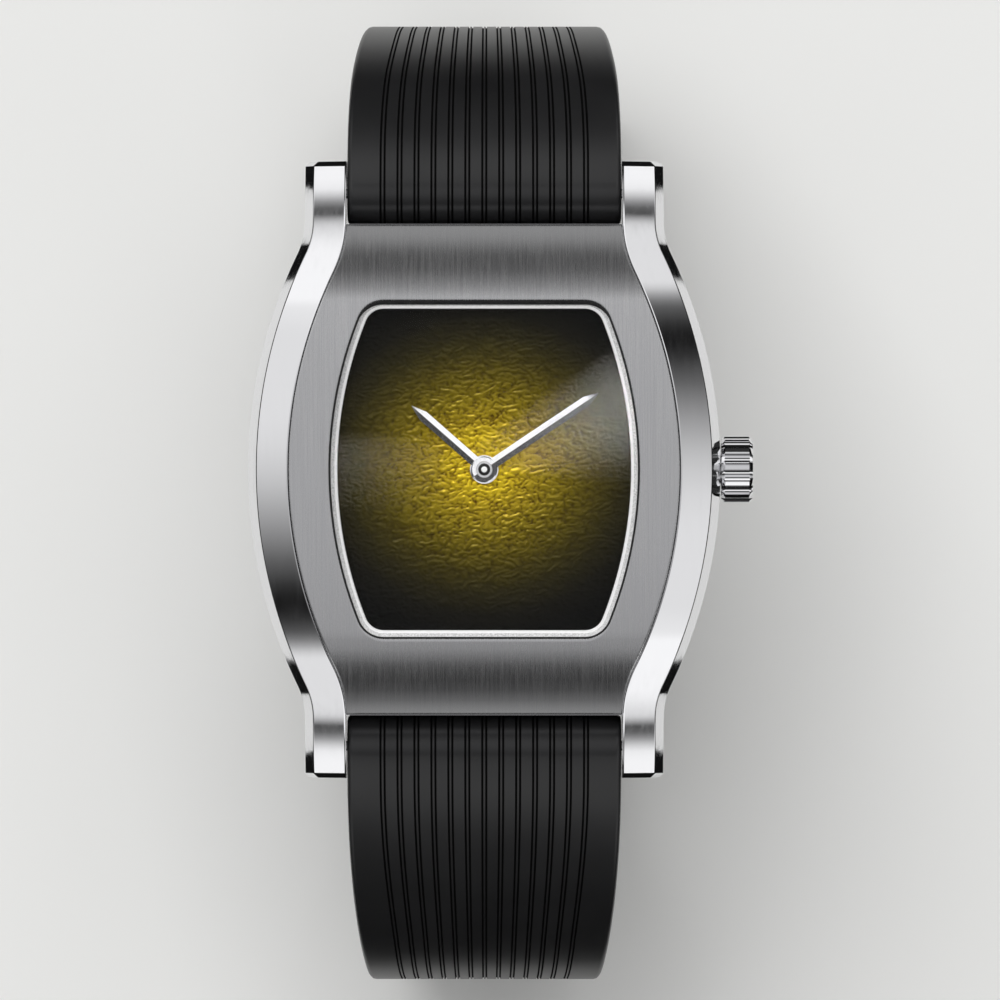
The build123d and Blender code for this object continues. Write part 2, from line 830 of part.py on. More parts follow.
# Movement screws: three in the bridge, two in the coil's ends
core_bottom = stator_bottom - core_side
with BuildPart() as movement_screws:
    for places, seat in ((pillar_places, bridge_bottom), (coil_screw_places, core_bottom)):
        with BuildSketch(Plane.XY.offset(seat)):
            with Locations(*places):
                Circle(movement_screw_head_radius)
        extrude(amount=-movement_screw_head)
        with BuildSketch(Plane.XY.offset(seat)):
            with Locations(*places):
                Circle(movement_screw_radius)
        extrude(amount=plate_bottom + movement_screw_grip - seat_gap - seat)
        with BuildSketch(Plane.XY.offset(seat - movement_screw_head)):
            with Locations(*places):
                Rectangle(2 * movement_screw_head_radius, screw_slot_width)
        extrude(amount=movement_screw_head / 2, mode=Mode.SUBTRACT)
step_file(movement_screws, "movement_screws")

# Battery: button cell with a stepped cap
battery_bottom = plate_bottom + seat_gap - battery_height
with BuildPart() as battery:
    with BuildSketch(Plane.XY.offset(battery_bottom + battery_cap_height)):
        with Locations((battery_x, battery_y)):
            Circle(battery_radius)
    extrude(amount=battery_height - battery_cap_height)
    with BuildSketch(Plane.XY.offset(battery_bottom)):
        with Locations((battery_x, battery_y)):
            Circle(battery_cap_radius)
    extrude(amount=battery_cap_height)
step_file(battery, "battery")

# Battery clip: spring strip across the cell, with a leg down to the main plate at each end
battery_direction = degrees(atan2(battery_y, battery_x))
clip_half_length = battery_radius + clip_thickness + 2 * seat_gap
clip_plane = Plane(
    origin=(battery_x, battery_y, battery_bottom),
    x_dir=(-sin(radians(battery_direction)), cos(radians(battery_direction)), 0),
    z_dir=(0, 0, 1),
)
with BuildPart() as battery_clip:
    with BuildSketch(clip_plane):
        Rectangle(2 * clip_half_length, clip_width)
    extrude(amount=-clip_thickness)
    with BuildSketch(clip_plane):
        for end in (1, -1):
            with Locations((end * (clip_half_length - clip_thickness / 2), 0)):
                Rectangle(clip_thickness, clip_width)
    extrude(amount=plate_bottom - battery_bottom)
step_file(battery_clip, "battery_clip")

# Circuit board: part of a ring, flat against the main plate
with BuildPart() as circuit_board:
    with BuildSketch(Plane.XY.offset(plate_bottom)):
        with BuildLine():
            start_in = polar(board_inner_radius, board_start_deg)
            start_out = polar(board_outer_radius, board_start_deg)
            end_in = polar(board_inner_radius, board_end_deg)
            end_out = polar(board_outer_radius, board_end_deg)
            board_middle_deg = (board_start_deg + board_end_deg) / 2
            Line(start_in, start_out)
            ThreePointArc(start_out, polar(board_outer_radius, board_middle_deg), end_out)
            Line(end_out, end_in)
            ThreePointArc(end_in, polar(board_inner_radius, board_middle_deg), start_in)
        make_face()
    extrude(amount=-board_thickness)
step_file(circuit_board, "circuit_board")

# Driver chip: block under the circuit board
board_middle_radius = (board_outer_radius + board_inner_radius) / 2
with BuildPart() as driver_chip:
    with BuildSketch(Plane.XY.offset(plate_bottom - board_thickness)):
        with Locations(polar(board_middle_radius, chip_direction_deg)):
            Rectangle(chip_side, chip_side)
    extrude(amount=-chip_height)
step_file(driver_chip, "driver_chip")

# Quartz can: small metal cylinder with the tuning fork, lying across under the board, on two leads
can_place = polar(board_middle_radius, can_direction_deg)
can_axis_height = plate_bottom - board_thickness - can_radius - seat_gap
with BuildPart() as quartz_can:
    with BuildSketch(Plane.YZ.offset(can_place[0] - can_length / 2)):
        with Locations((can_place[1], can_axis_height)):
            Circle(can_radius)
    extrude(amount=can_length)
    with BuildSketch(Plane.YZ.offset(can_place[0] + can_length / 2)):
        with Locations(
            (can_place[1] - can_radius / 2, can_axis_height),
            (can_place[1] + can_radius / 2, can_axis_height),
        ):
            Circle(pivot_radius)
    extrude(amount=can_lead)
step_file(quartz_can, "quartz_can")

# Coil core: square bar with a tab at each end for its screw
core_middle_z = core_bottom + core_side / 2
with BuildPart() as coil_core:
    with BuildSketch(Plane.YZ.offset(coil_left)):
        with Locations((coil_y, core_middle_z)):
            Rectangle(core_side, core_side)
    extrude(amount=coil_right - coil_left)
    with BuildSketch(Plane.XY.offset(core_bottom)):
        with Locations(*coil_screw_places):
            Rectangle(core_tab, core_tab)
            Circle(movement_screw_radius + seat_gap, mode=Mode.SUBTRACT)
    extrude(amount=core_side)
step_file(coil_core, "coil_core")

# Coil winding: fine copper wire in one thick roll on the core
with BuildPart() as coil_winding:
    with BuildSketch(Plane.YZ.offset(coil_left + seat_gap)):
        with Locations((coil_y, core_middle_z)):
            Circle(coil_radius)
            Rectangle(core_side + running_gap, core_side + running_gap, mode=Mode.SUBTRACT)
    extrude(amount=coil_right - coil_left - 2 * seat_gap)
step_file(coil_winding, "coil_winding")

# Stator: flat iron yoke from the coil's ends to the hole in which the rotor turns
with BuildPart() as stator:
    with BuildSketch(Plane.XY.offset(stator_bottom)):
        with Locations(rotor_place):
            Circle(stator_hole_radius + stator_ring)
        for end_place in coil_screw_places:
            knee = (end_place[0], end_place[1] - stator_knee)
            for start, stop in ((end_place, knee), (knee, rotor_place)):
                middle = ((start[0] + stop[0]) / 2, (start[1] + stop[1]) / 2)
                run = sqrt((start[0] - stop[0]) ** 2 + (start[1] - stop[1]) ** 2)
                with Locations(Location((*middle, 0), (0, 0, direction(start, stop)))):
                    SlotCenterToCenter(run, core_tab)
        with Locations(rotor_place):
            Circle(stator_hole_radius, mode=Mode.SUBTRACT)
        with Locations(*coil_screw_places):
            Circle(movement_screw_radius + seat_gap, mode=Mode.SUBTRACT)
    extrude(amount=stator_thickness)
step_file(stator, "stator")

# Rotor: round magnet on an arbor with a pinion of six teeth
intermediate_to_rotor = direction(intermediate_place, rotor_place)
with BuildPart() as rotor:
    rotor_pinion_bottom = intermediate_bottom - seat_gap
    with BuildSketch(Plane.XY.offset(rotor_pinion_bottom)):
        with Locations(rotor_place):
            add(
                wheel_outline(
                    rotor_pinion_teeth,
                    fine_module,
                    gap_direction(intermediate_to_rotor + 180, rotor_pinion_teeth),
                )
            )
    extrude(amount=wheel_thickness + 2 * seat_gap)
    with BuildSketch(Plane.XY.offset(stator_bottom - seat_gap)):
        with Locations(rotor_place):
            Circle(magnet_radius)
    extrude(amount=magnet_height)
    with BuildSketch(Plane.XY.offset(bridge_top - pivot_length)):
        with Locations(rotor_place):
            Circle(pivot_radius)
    extrude(amount=plate_bottom - bridge_top + 2 * pivot_length - seat_gap)
step_file(rotor, "rotor")

# Intermediate wheel: sixty fine teeth, with a pinion of eight
with BuildPart() as intermediate_wheel:
    with BuildSketch(Plane.XY.offset(intermediate_bottom)):
        with Locations(intermediate_place):
            add(wheel_outline(intermediate_teeth, fine_module, intermediate_to_rotor))
    extrude(amount=wheel_thickness)
    with BuildSketch(Plane.XY.offset(intermediate_bottom + wheel_thickness)):
        with Locations(intermediate_place):
            add(
                wheel_outline(
                    intermediate_pinion_teeth,
                    train_module,
                    gap_direction(intermediate_direction_deg + 180, intermediate_pinion_teeth),
                )
            )
    extrude(amount=centre_wheel_bottom - intermediate_bottom + seat_gap)
    with BuildSketch(Plane.XY.offset(bridge_top - pivot_length)):
        with Locations(intermediate_place):
            Circle(pivot_radius)
    extrude(amount=plate_bottom - bridge_top + 2 * pivot_length - seat_gap)
step_file(intermediate_wheel, "intermediate_wheel")

# Centre wheel: on the arbor that carries the minute hand's cannon pinion
with BuildPart() as centre_wheel:
    with BuildSketch(Plane.XY.offset(centre_wheel_bottom)):
        add(wheel_outline(centre_teeth, train_module, intermediate_direction_deg))
    extrude(amount=wheel_thickness)
    with BuildSketch(Plane.XY.offset(bridge_top + seat_gap)):
        Circle(arbor_radius)
    extrude(amount=minute_hand_bottom - bridge_top)
    with BuildSketch(Plane.XY.offset(bridge_top - pivot_length)):
        Circle(pivot_radius)
    extrude(amount=pivot_length + seat_gap)
step_file(centre_wheel, "centre_wheel")

# Cannon pinion: tube on the arbor, ten teeth at its foot, the minute hand on its head
with BuildPart() as cannon_pinion:
    with BuildSketch(Plane.XY.offset(cannon_bottom)):
        add(wheel_outline(cannon_teeth, train_module, minute_direction_deg))
    extrude(amount=wheel_thickness)
    with BuildSketch(Plane.XY.offset(cannon_bottom)):
        Circle(cannon_radius)
    extrude(amount=minute_hand_bottom + hand_thickness + seat_gap - cannon_bottom)
    with BuildSketch(Plane.XY.offset(cannon_bottom)):
        Circle(arbor_radius + running_gap / 2)
    extrude(amount=minute_hand_bottom + 2 * seat_gap - cannon_bottom, mode=Mode.SUBTRACT)
step_file(cannon_pinion, "cannon_pinion")

# Minute wheel: driven by the cannon pinion, turns on a post, drives the hour wheel with its pinion
with BuildPart() as minute_wheel:
    with BuildSketch(Plane.XY.offset(cannon_bottom)):
        with Locations(minute_place):
            add(
                wheel_outline(
                    minute_teeth,
                    train_module,
                    gap_direction(minute_direction_deg + 180, minute_teeth),
                )
            )
    extrude(amount=wheel_thickness)
    with BuildSketch(Plane.XY.offset(cannon_bottom + wheel_thickness)):
        with Locations(minute_place):
            add(wheel_outline(minute_pinion_teeth, hour_module, minute_direction_deg + 180))
    extrude(amount=hour_wheel_bottom - cannon_bottom)
    with BuildSketch(Plane.XY.offset(cannon_bottom)):
        with Locations(minute_place):
            Circle(post_radius + running_gap)
    extrude(amount=recess_depth, mode=Mode.SUBTRACT)
step_file(minute_wheel, "minute_wheel")

# Hour wheel: on a pipe that carries the hour hand above the dial
with BuildPart() as hour_wheel:
    with BuildSketch(Plane.XY.offset(hour_wheel_bottom)):
        add(
            wheel_outline(
                hour_teeth, hour_module, gap_direction(minute_direction_deg, hour_teeth)
            )
        )
    extrude(amount=wheel_thickness)
    with BuildSketch(Plane.XY.offset(hour_wheel_bottom)):
        Circle(hour_pipe_radius)
    extrude(amount=hour_hand_bottom + hand_thickness + seat_gap - hour_wheel_bottom)
    with BuildSketch(Plane.XY.offset(hour_wheel_bottom)):
        Circle(cannon_radius + running_gap)
    extrude(amount=hour_hand_bottom, mode=Mode.SUBTRACT)
step_file(hour_wheel, "hour_wheel")

# Setting wheel: between the clutch wheel and the minute wheel
with BuildPart() as setting_wheel:
    with BuildSketch(Plane.XY.offset(cannon_bottom)):
        with Locations(setting_place):
            add(
                wheel_outline(
                    setting_teeth,
                    train_module,
                    gap_direction(setting_direction_deg + 180, setting_teeth),
                )
            )
            Circle(post_radius + running_gap, mode=Mode.SUBTRACT)
    extrude(amount=wheel_thickness)
step_file(setting_wheel, "setting_wheel")


def hand_blade(length, bottom, angle_deg):
    """Solid of a hand's blade: a ridge along its length, seen from above a bar with a pointed tip."""
    heading = 90 - angle_deg
    blade_plane = Plane(
        origin=(0, 0, bottom), x_dir=(*polar(1, heading), 0), z_dir=(0, 0, 1)
    )
    ridge_plane = Plane(
        origin=(*polar(-hand_tail, heading), bottom),
        x_dir=(*polar(1, heading + 90), 0),
        z_dir=(*polar(1, heading), 0),
    )
    with BuildPart() as blade:
        with BuildSketch(ridge_plane):
            with BuildLine():
                Polyline(
                    (-hand_width / 2, 0),
                    (hand_width / 2, 0),
                    (hand_width / 2, hand_thickness / 3),
                    (0, hand_thickness),
                    (-hand_width / 2, hand_thickness / 3),
                    close=True,
                )
            make_face()
        extrude(amount=length + hand_tail)
        with BuildSketch(blade_plane):
            with BuildLine():
                Polyline(
                    (-hand_tail, -hand_width / 2),
                    (length - hand_tip, -hand_width / 2),
                    (length, 0),
                    (length - hand_tip, hand_width / 2),
                    (-hand_tail, hand_width / 2),
                    close=True,
                )
            make_face()
        extrude(amount=hand_thickness, mode=Mode.INTERSECT)
    return blade.part


# Hour hand: pressed on the hour wheel's pipe
with BuildPart() as hour_hand:
    add(hand_blade(hour_hand_length, hour_hand_bottom, hour_hand_angle_deg))
    with BuildSketch(Plane.XY.offset(hour_hand_bottom)):
        Circle(hand_hub_radius)
    extrude(amount=hand_thickness)
    with BuildSketch(Plane.XY.offset(hour_hand_bottom)):
        Circle(hour_pipe_radius + running_gap / 3)
    extrude(amount=hand_thickness, mode=Mode.SUBTRACT)
step_file(hour_hand, "hour_hand")

# Minute hand: pressed on the cannon pinion's head
with BuildPart() as minute_hand:
    add(hand_blade(minute_hand_length, minute_hand_bottom, minute_hand_angle_deg))
    with BuildSketch(Plane.XY.offset(minute_hand_bottom)):
        Circle(hand_hub_radius)
    extrude(amount=hand_thickness)
    with BuildSketch(Plane.XY.offset(minute_hand_bottom)):
        Circle(cannon_radius + running_gap / 3)
    extrude(amount=hand_thickness, mode=Mode.SUBTRACT)
step_file(minute_hand, "minute_hand")

# Crown: fluted knob, hollow on the case's side, where it runs over the tube
crown_start = case_half_width + crown_gap
crown_end = crown_start + crown_length
crown_flute_centre = crown_radius + crown_flute_radius * (1 - crown_flute_depth_share)
ring_middle_radius = tube_outer_radius + crown_ring_radius
crown_bore_end = crown_end - crown_wall
ring_x = crown_start + tube_proud / 2
with BuildPart() as crown:
    with BuildSketch(Plane.YZ.offset(crown_start)):
        with Locations((0, stem_height)):
            Circle(crown_radius)
    extrude(amount=crown_length)
    chamfer(crown.edges().filter_by(GeomType.CIRCLE), crown_bevel)
    with BuildSketch(Plane.YZ.offset(crown_start)):
        with Locations((0, stem_height)):
            with PolarLocations(crown_flute_centre, crown_lobes, crown_flute_start_deg):
                Circle(crown_flute_radius)
    extrude(amount=crown_length, mode=Mode.SUBTRACT)
    with BuildSketch(Plane.YZ.offset(crown_start)):
        with Locations((0, stem_height)):
            Circle(tube_outer_radius + seat_gap)
    extrude(amount=crown_bore_end - crown_start, mode=Mode.SUBTRACT)
    with BuildSketch(Plane.YZ.offset(ring_x - crown_ring_radius - running_gap)):
        with Locations((0, stem_height)):
            Circle(tube_outer_radius + 2 * crown_ring_radius + running_gap)
    extrude(amount=2 * (crown_ring_radius + running_gap), mode=Mode.SUBTRACT)
    with BuildSketch(Plane.YZ.offset(crown_bore_end)):
        with Locations((0, stem_height)):
            Circle(stem_radius + running_gap / 3)
    extrude(amount=crown_wall / 2, mode=Mode.SUBTRACT)
step_file(crown, "crown")

# Crown gasket: rubber ring in the crown, running on the tube
with BuildPart() as crown_gasket:
    with BuildSketch(Plane.XZ):
        with Locations((ring_x, stem_height + ring_middle_radius + running_gap)):
            Circle(crown_ring_radius)
    revolve(axis=Axis((0, 0, stem_height), (1, 0, 0)))
step_file(crown_gasket, "crown_gasket")

# Crown tube: pressed into the case's wall
with BuildPart() as crown_tube:
    with BuildSketch(Plane.YZ.offset(tube_inner_end)):
        with Locations((0, stem_height)):
            Circle(tube_outer_radius)
            Circle(tube_inner_radius, mode=Mode.SUBTRACT)
    extrude(amount=case_half_width + tube_proud - tube_inner_end)
step_file(crown_tube, "crown_tube")

# Stem: round shaft screwed into the crown, with a groove for the lever and a square for the clutch
with BuildPart() as stem:
    with BuildSketch(Plane.YZ.offset(stem_end)):
        with Locations((0, stem_height)):
            Rectangle(stem_square, stem_square)
    extrude(amount=lever_groove_x - lever_groove - stem_end)
    with BuildSketch(Plane.YZ.offset(lever_groove_x - lever_groove)):
        with Locations((0, stem_height)):
            Circle(stem_radius)
    extrude(amount=crown_bore_end + crown_wall / 2 - lever_groove_x + lever_groove - seat_gap)
    with BuildSketch(Plane.YZ.offset(lever_groove_x - lever_groove / 2)):
        with Locations((0, stem_height)):
            Circle(2 * stem_radius)
            Circle(lever_groove_radius, mode=Mode.SUBTRACT)
    extrude(amount=lever_groove, mode=Mode.SUBTRACT)
step_file(stem, "stem")

# Clutch wheel: slides on the stem's square, toothed towards the setting wheel, grooved for the yoke
clutch_module = 2 * clutch_radius / (clutch_teeth + 2 * tooth_height_share)
clutch_middle = clutch_inner_end + clutch_length / 2
with BuildPart() as clutch_wheel:
    with BuildSketch(Plane.YZ.offset(clutch_inner_end)):
        with Locations((0, stem_height)):
            add(wheel_outline(clutch_teeth, clutch_module, 0))
    extrude(amount=clutch_length)
    with BuildSketch(Plane.YZ.offset(clutch_middle - clutch_groove / 2)):
        with Locations((0, stem_height)):
            Circle(clutch_radius + overrun)
            Circle(clutch_groove_radius, mode=Mode.SUBTRACT)
    extrude(amount=clutch_groove, mode=Mode.SUBTRACT)
    with BuildSketch(Plane.YZ.offset(clutch_inner_end)):
        with Locations((0, stem_height)):
            Rectangle(stem_square + 2 * running_gap, stem_square + 2 * running_gap)
    extrude(amount=clutch_length, mode=Mode.SUBTRACT)
step_file(clutch_wheel, "clutch_wheel")


def pivoted_arm(pivot, nose, nose_width, tail):
    """Flat arm round a pivot post, with a narrow nose at one end and a tail beyond the pivot."""
    heading = direction(pivot, nose)
    reach = sqrt((nose[0] - pivot[0]) ** 2 + (nose[1] - pivot[1]) ** 2)
    arm_plane = Plane(
        origin=(*pivot, stem_height - lever_thickness / 2),
        x_dir=(*polar(1, heading), 0),
        z_dir=(0, 0, 1),
    )
    broad_reach = reach - 2 * nose_width
    with BuildPart() as arm:
        with BuildSketch(arm_plane):
            Circle(lever_boss_radius)
            with BuildLine():
                Polyline(
                    (0, -lever_arm_width / 2),
                    (broad_reach - nose_width, -lever_arm_width / 2),
                    (broad_reach, -nose_width / 2),
                    (reach, -nose_width / 2),
                    (reach, nose_width / 2),
                    (broad_reach, nose_width / 2),
                    (broad_reach - nose_width, lever_arm_width / 2),
                    (-tail, lever_arm_width / 2),
                    (-tail, -lever_arm_width / 2),
                    close=True,
                )
            make_face()
            Circle(post_radius + running_gap, mode=Mode.SUBTRACT)
        extrude(amount=lever_thickness)
    return arm.part


# Setting lever: its nose lies in the stem's groove
with BuildPart() as setting_lever:
    add(
        pivoted_arm(
            lever_pivot,
            (lever_groove_x, lever_groove_radius + seat_gap),
            lever_groove - 4 * running_gap,
            lever_arm_width,
        )
    )
step_file(setting_lever, "setting_lever")

# Yoke: its nose lies in the clutch wheel's groove
with BuildPart() as yoke:
    add(
        pivoted_arm(
            yoke_pivot,
            (clutch_middle, -clutch_groove_radius - seat_gap),
            clutch_groove - 4 * running_gap,
            lever_arm_width,
        )
    )
step_file(yoke, "yoke")

# Strap halves. Their path starts at the spring bar's axis, u outwards from the case and v upwards
keeper_reach = strap_half_thickness + tail_room + keeper_wall
short_drop = short_half_first_radius * (
    cos(radians(strap_start_deg)) - cos(radians(short_half_first_end_deg))
) + short_half_second_radius * cos(radians(short_half_first_end_deg))
long_drop = long_half_radius * cos(radians(strap_start_deg))
short_bottom_radius = standing_depth - keeper_reach - short_drop
long_bottom_radius = standing_depth - strap_half_thickness - long_drop

# Each run of a path is its length and how far it turns, in degrees
short_path = [
    (
        short_half_first_radius * radians(short_half_first_end_deg - strap_start_deg),
        short_half_first_end_deg - strap_start_deg,
    ),
    (
        short_half_second_radius * radians(90 - short_half_first_end_deg),
        90 - short_half_first_end_deg,
    ),
    (short_bottom_radius * pi / 2, 90),
    (short_straight, 0),
]
long_path = [
    (long_half_radius * radians(90 - strap_start_deg), 90 - strap_start_deg),
    (long_bottom_radius * pi / 2, 90),
    (tail_first_radius * radians(tail_first_deg), tail_first_deg),
    (tail_second_length, degrees(tail_second_length / tail_second_radius)),
]


def path_place(path, distance):
    """Place u, v and slope angle at a distance along a strap half's path."""
    u = 0
    v = 0
    slope = radians(strap_start_deg)
    for length, turn_deg in path:
        part = min(distance, length)
        turn = radians(turn_deg) * part / length
        if turn > 0:
            radius = part / turn
            u += radius * (sin(slope + turn) - sin(slope))
            v += radius * (cos(slope + turn) - cos(slope))
        else:
            u += part * cos(slope)
            v -= part * sin(slope)
        slope += turn
        distance -= part
        if distance <= 0:
            break
    return u, v, slope


def path_length(path):
    """Whole length of a path."""
    return sum(length for length, turn_deg in path)


def strap_plane(path, side, distance):
    """Plane across the strap: local x across it, local y out of its outer face."""
    u, v, slope = path_place(path, distance)
    return Plane(
        origin=(0, side * (bar_y + u), bar_height + v),
        x_dir=(-side, 0, 0),
        z_dir=(0, side * cos(slope), -sin(slope)),
    )


def eased(distance, start, end):
    """Smooth step from 0 at the start to 1 at the end."""
    share = min(max((distance - start) / (end - start), 0), 1)
    return share * share * (3 - 2 * share)


def width_at(distance):
    """Width of the strap."""
    fall = eased(distance, strap_taper_start, strap_taper_end)
    return strap_width + (strap_narrow_width - strap_width) * fall


def outer_at(distance):
    """From the path to the strap's outer face."""
    fall = eased(distance, 0, strap_thin_end)
    return strap_end_radius + (strap_half_thickness - strap_end_radius) * fall


def inner_at(distance):
    """From the path to the strap's inner face."""
    fall = eased(distance, 0, strap_thin_end)
    return strap_inner_start + (strap_half_thickness - strap_inner_start) * fall


def strap_outline(width, outer, inner, grooved):
    """Cross-section of the strap, with bevelled outer edges and, where asked, its grooves."""
    half = width / 2
    points = [(half, -inner), (half, outer - edge_bevel), (half - edge_bevel, outer)]
    if grooved:
        for groove in range(groove_count):
            middle = ((groove_count - 1) / 2 - groove) * groove_pitch_share * width
            rim = groove_width_share * width / 2
            floor = groove_floor_share * width / 2
            points += [
                (middle + rim, outer),
                (middle + floor, outer - groove_depth),
                (middle - floor, outer - groove_depth),
                (middle - rim, outer),
            ]
    points += [(edge_bevel - half, outer), (-half, outer - edge_bevel), (-half, -inner)]
    with BuildSketch() as outline:
        with BuildLine():
            Polyline(*points, close=True)
        make_face()
    return outline.sketch


def strap_run(path, side, start, end, grooved):
    """Sections of the strap from one distance to another, for lofting."""
    steps = ceil((end - start) / station_spacing)
    sections = []
    for step in range(steps + 1):
        distance = start + (end - start) * step / steps
        outline = strap_outline(
            width_at(distance), outer_at(distance), inner_at(distance), grooved
        )
        sections.append(strap_plane(path, side, distance) * outline)
    return sections


def strap_head(side, path):
    """The strap's end round the spring bar: rounded on top, with a heel against the case."""
    start_plane = strap_plane(path, side, 0)
    width = width_at(0)
    bar_axis = Axis((0, side * bar_y, bar_height), (side, 0, 0))
    with BuildPart() as head:
        with BuildSketch(start_plane):
            add(strap_outline(width, strap_end_radius, 0, True))
        revolve(axis=bar_axis, revolution_arc=90 + strap_start_deg)
        with BuildSketch(Plane.YZ):
            with BuildLine():
                lean = radians(strap_start_deg)
                Polyline(
                    (side * bar_y, bar_height),
                    (side * (bar_y - strap_end_radius), bar_height),
                    (
                        side * (bar_y - strap_end_radius),
                        bar_height - strap_inner_start * cos(lean),
                    ),
                    (
                        side * (bar_y - strap_inner_start * sin(lean)),
                        bar_height - strap_inner_start * cos(lean),
                    ),
                    close=True,
                )
            make_face()
        extrude(amount=width / 2, both=True)
    return head.part


# Strap half at 12 o'clock: ends in a rounded wrap round the buckle's bar, slotted for the tongue
short_length = path_length(short_path)
buckle_plane = strap_plane(short_path, 1, short_length)
buckle_y = buckle_plane.origin.Y
buckle_z = buckle_plane.origin.Z
tongue_slot_width = tongue_width + 2 * tongue_slot_gap
with BuildPart() as strap_12:
    add(strap_head(1, short_path))
    loft(strap_run(short_path, 1, 0, groove_length, True))
    loft(strap_run(short_path, 1, groove_length, short_length, False))
    with BuildSketch(Plane.YZ):
        with Locations((buckle_y, buckle_z)):
            Circle(strap_half_thickness)
    extrude(amount=width_at(short_length) / 2, both=True)
    with BuildSketch(Plane.YZ):
        with Locations((bar_y, bar_height), (buckle_y, buckle_z)):
            Circle(bar_radius + running_gap)
    extrude(amount=strap_width, both=True, mode=Mode.SUBTRACT)
    with BuildSketch(Plane.XY.offset(buckle_z)):
        with Locations((0, buckle_y)):
            Rectangle(tongue_slot_width, 2 * (buckle_wrap_radius + 4 * tongue_slot_gap))
    extrude(amount=2 * strap_half_thickness, both=True, mode=Mode.SUBTRACT)
step_file(strap_12, "strap_12")

# Strap half at 6 o'clock: a long tail with a round tip and a row of holes
long_length = path_length(long_path)
tail_half_width = width_at(long_length) / 2
with BuildPart() as strap_6:
    add(strap_head(-1, long_path))
    loft(strap_run(long_path, -1, 0, groove_length, True))
    loft(strap_run(long_path, -1, groove_length, long_length, False))
    tip_frame = strap_plane(long_path, -1, long_length)
    tip_plane = Plane(
        origin=tip_frame.origin - tip_frame.y_dir * strap_half_thickness,
        x_dir=tip_frame.x_dir,
        z_dir=tip_frame.y_dir,
    )
    with BuildSketch(tip_plane):
        Circle(tail_half_width)
        with Locations((0, tail_half_width)):
            Rectangle(2 * tail_half_width, 2 * tail_half_width, mode=Mode.SUBTRACT)
    extrude(amount=2 * strap_half_thickness)
    with BuildSketch(Plane.YZ):
        with Locations((-bar_y, bar_height)):
            Circle(bar_radius + running_gap)
    extrude(amount=strap_width, both=True, mode=Mode.SUBTRACT)
    for hole in range(tail_hole_count):
        hole_frame = strap_plane(long_path, -1, tail_hole_first + hole * tail_hole_pitch)
        hole_plane = Plane(
            origin=hole_frame.origin, x_dir=hole_frame.x_dir, z_dir=hole_frame.y_dir
        )
        with BuildSketch(hole_plane):
            Circle(tail_hole_radius)
        extrude(amount=2 * strap_half_thickness, both=True, mode=Mode.SUBTRACT)
step_file(strap_6, "strap_6")


def bar_tube(y, z, length):
    """Hollow bar along X, narrowed at both ends so that its pins can't fall out."""
    with BuildPart() as tube:
        with BuildSketch(Plane.YZ.offset(-length / 2)):
            with Locations((y, z)):
                Circle(bar_radius)
                Circle(pin_radius + running_gap, mode=Mode.SUBTRACT)
        extrude(amount=length)
        with BuildSketch(Plane.YZ.offset(bar_cap - length / 2)):
            with Locations((y, z)):
                Circle(bar_bore_radius)
        extrude(amount=length - 2 * bar_cap, mode=Mode.SUBTRACT)
    return tube.part


def bar_pin(y, z, tube_length, reach, side):
    """Spring-loaded pin at one end of a bar, with a flange inside the tube."""
    flange_outer = tube_length / 2 - bar_cap - seat_gap
    with BuildPart() as pin:
        with BuildSketch(Plane.YZ.offset(side * flange_outer)):
            with Locations((y, z)):
                Circle(pin_radius)
        extrude(amount=side * (reach - flange_outer))
        with BuildSketch(Plane.YZ.offset(side * flange_outer)):
            with Locations((y, z)):
                Circle(bar_bore_radius - running_gap)
        extrude(amount=-side * pin_flange)
    return pin.part


def bar_spring(y, z, tube_length):
    """Coil spring inside a bar, as long as it is when both pins are pressed in."""
    flange_inner = tube_length / 2 - bar_cap - 2 * seat_gap - pin_flange
    turns_length = 2 * (flange_inner - pin_travel - 2 * spring_wire_radius - seat_gap)
    coil_radius_mean = bar_bore_radius - spring_wire_radius - running_gap
    with BuildPart() as spring:
        with BuildLine() as path:
            Helix(
                pitch=spring_pitch,
                height=turns_length,
                radius=coil_radius_mean,
                center=(-turns_length / 2, y, z),
                direction=(1, 0, 0),
            )
        with BuildSketch(Plane(origin=path.line @ 0, z_dir=path.line % 0)):
            Circle(spring_wire_radius)
        sweep()
    return spring.part


# Spring bars: two in the lugs and one in the buckle
bar_length = lug_gap - 2 * bar_end_gap
buckle_inner_half = strap_narrow_width / 2 + buckle_side_gap
buckle_bar_length = 2 * (buckle_inner_half - bar_end_gap)
with BuildPart() as spring_bar_tubes:
    add(bar_tube(bar_y, bar_height, bar_length))
    add(bar_tube(-bar_y, bar_height, bar_length))
step_file(spring_bar_tubes, "spring_bar_tubes")

with BuildPart() as spring_bar_springs:
    add(bar_spring(bar_y, bar_height, bar_length))
    add(bar_spring(-bar_y, bar_height, bar_length))
step_file(spring_bar_springs, "spring_bar_springs")

pin_end = lug_gap / 2 + pin_reach
for bar_side, bar_name in ((1, "12"), (-1, "6")):
    for pin_side, pin_name in ((-1, "left"), (1, "right")):
        with BuildPart() as spring_bar_pin:
            add(bar_pin(bar_side * bar_y, bar_height, bar_length, pin_end, pin_side))
        step_file(spring_bar_pin, f"spring_bar_pin_{bar_name}_{pin_name}")

with BuildPart() as buckle_bar:
    add(bar_tube(buckle_y, buckle_z, buckle_bar_length))
step_file(buckle_bar, "buckle_bar")

with BuildPart() as buckle_bar_spring:
    add(bar_spring(buckle_y, buckle_z, buckle_bar_length))
step_file(buckle_bar_spring, "buckle_bar_spring")

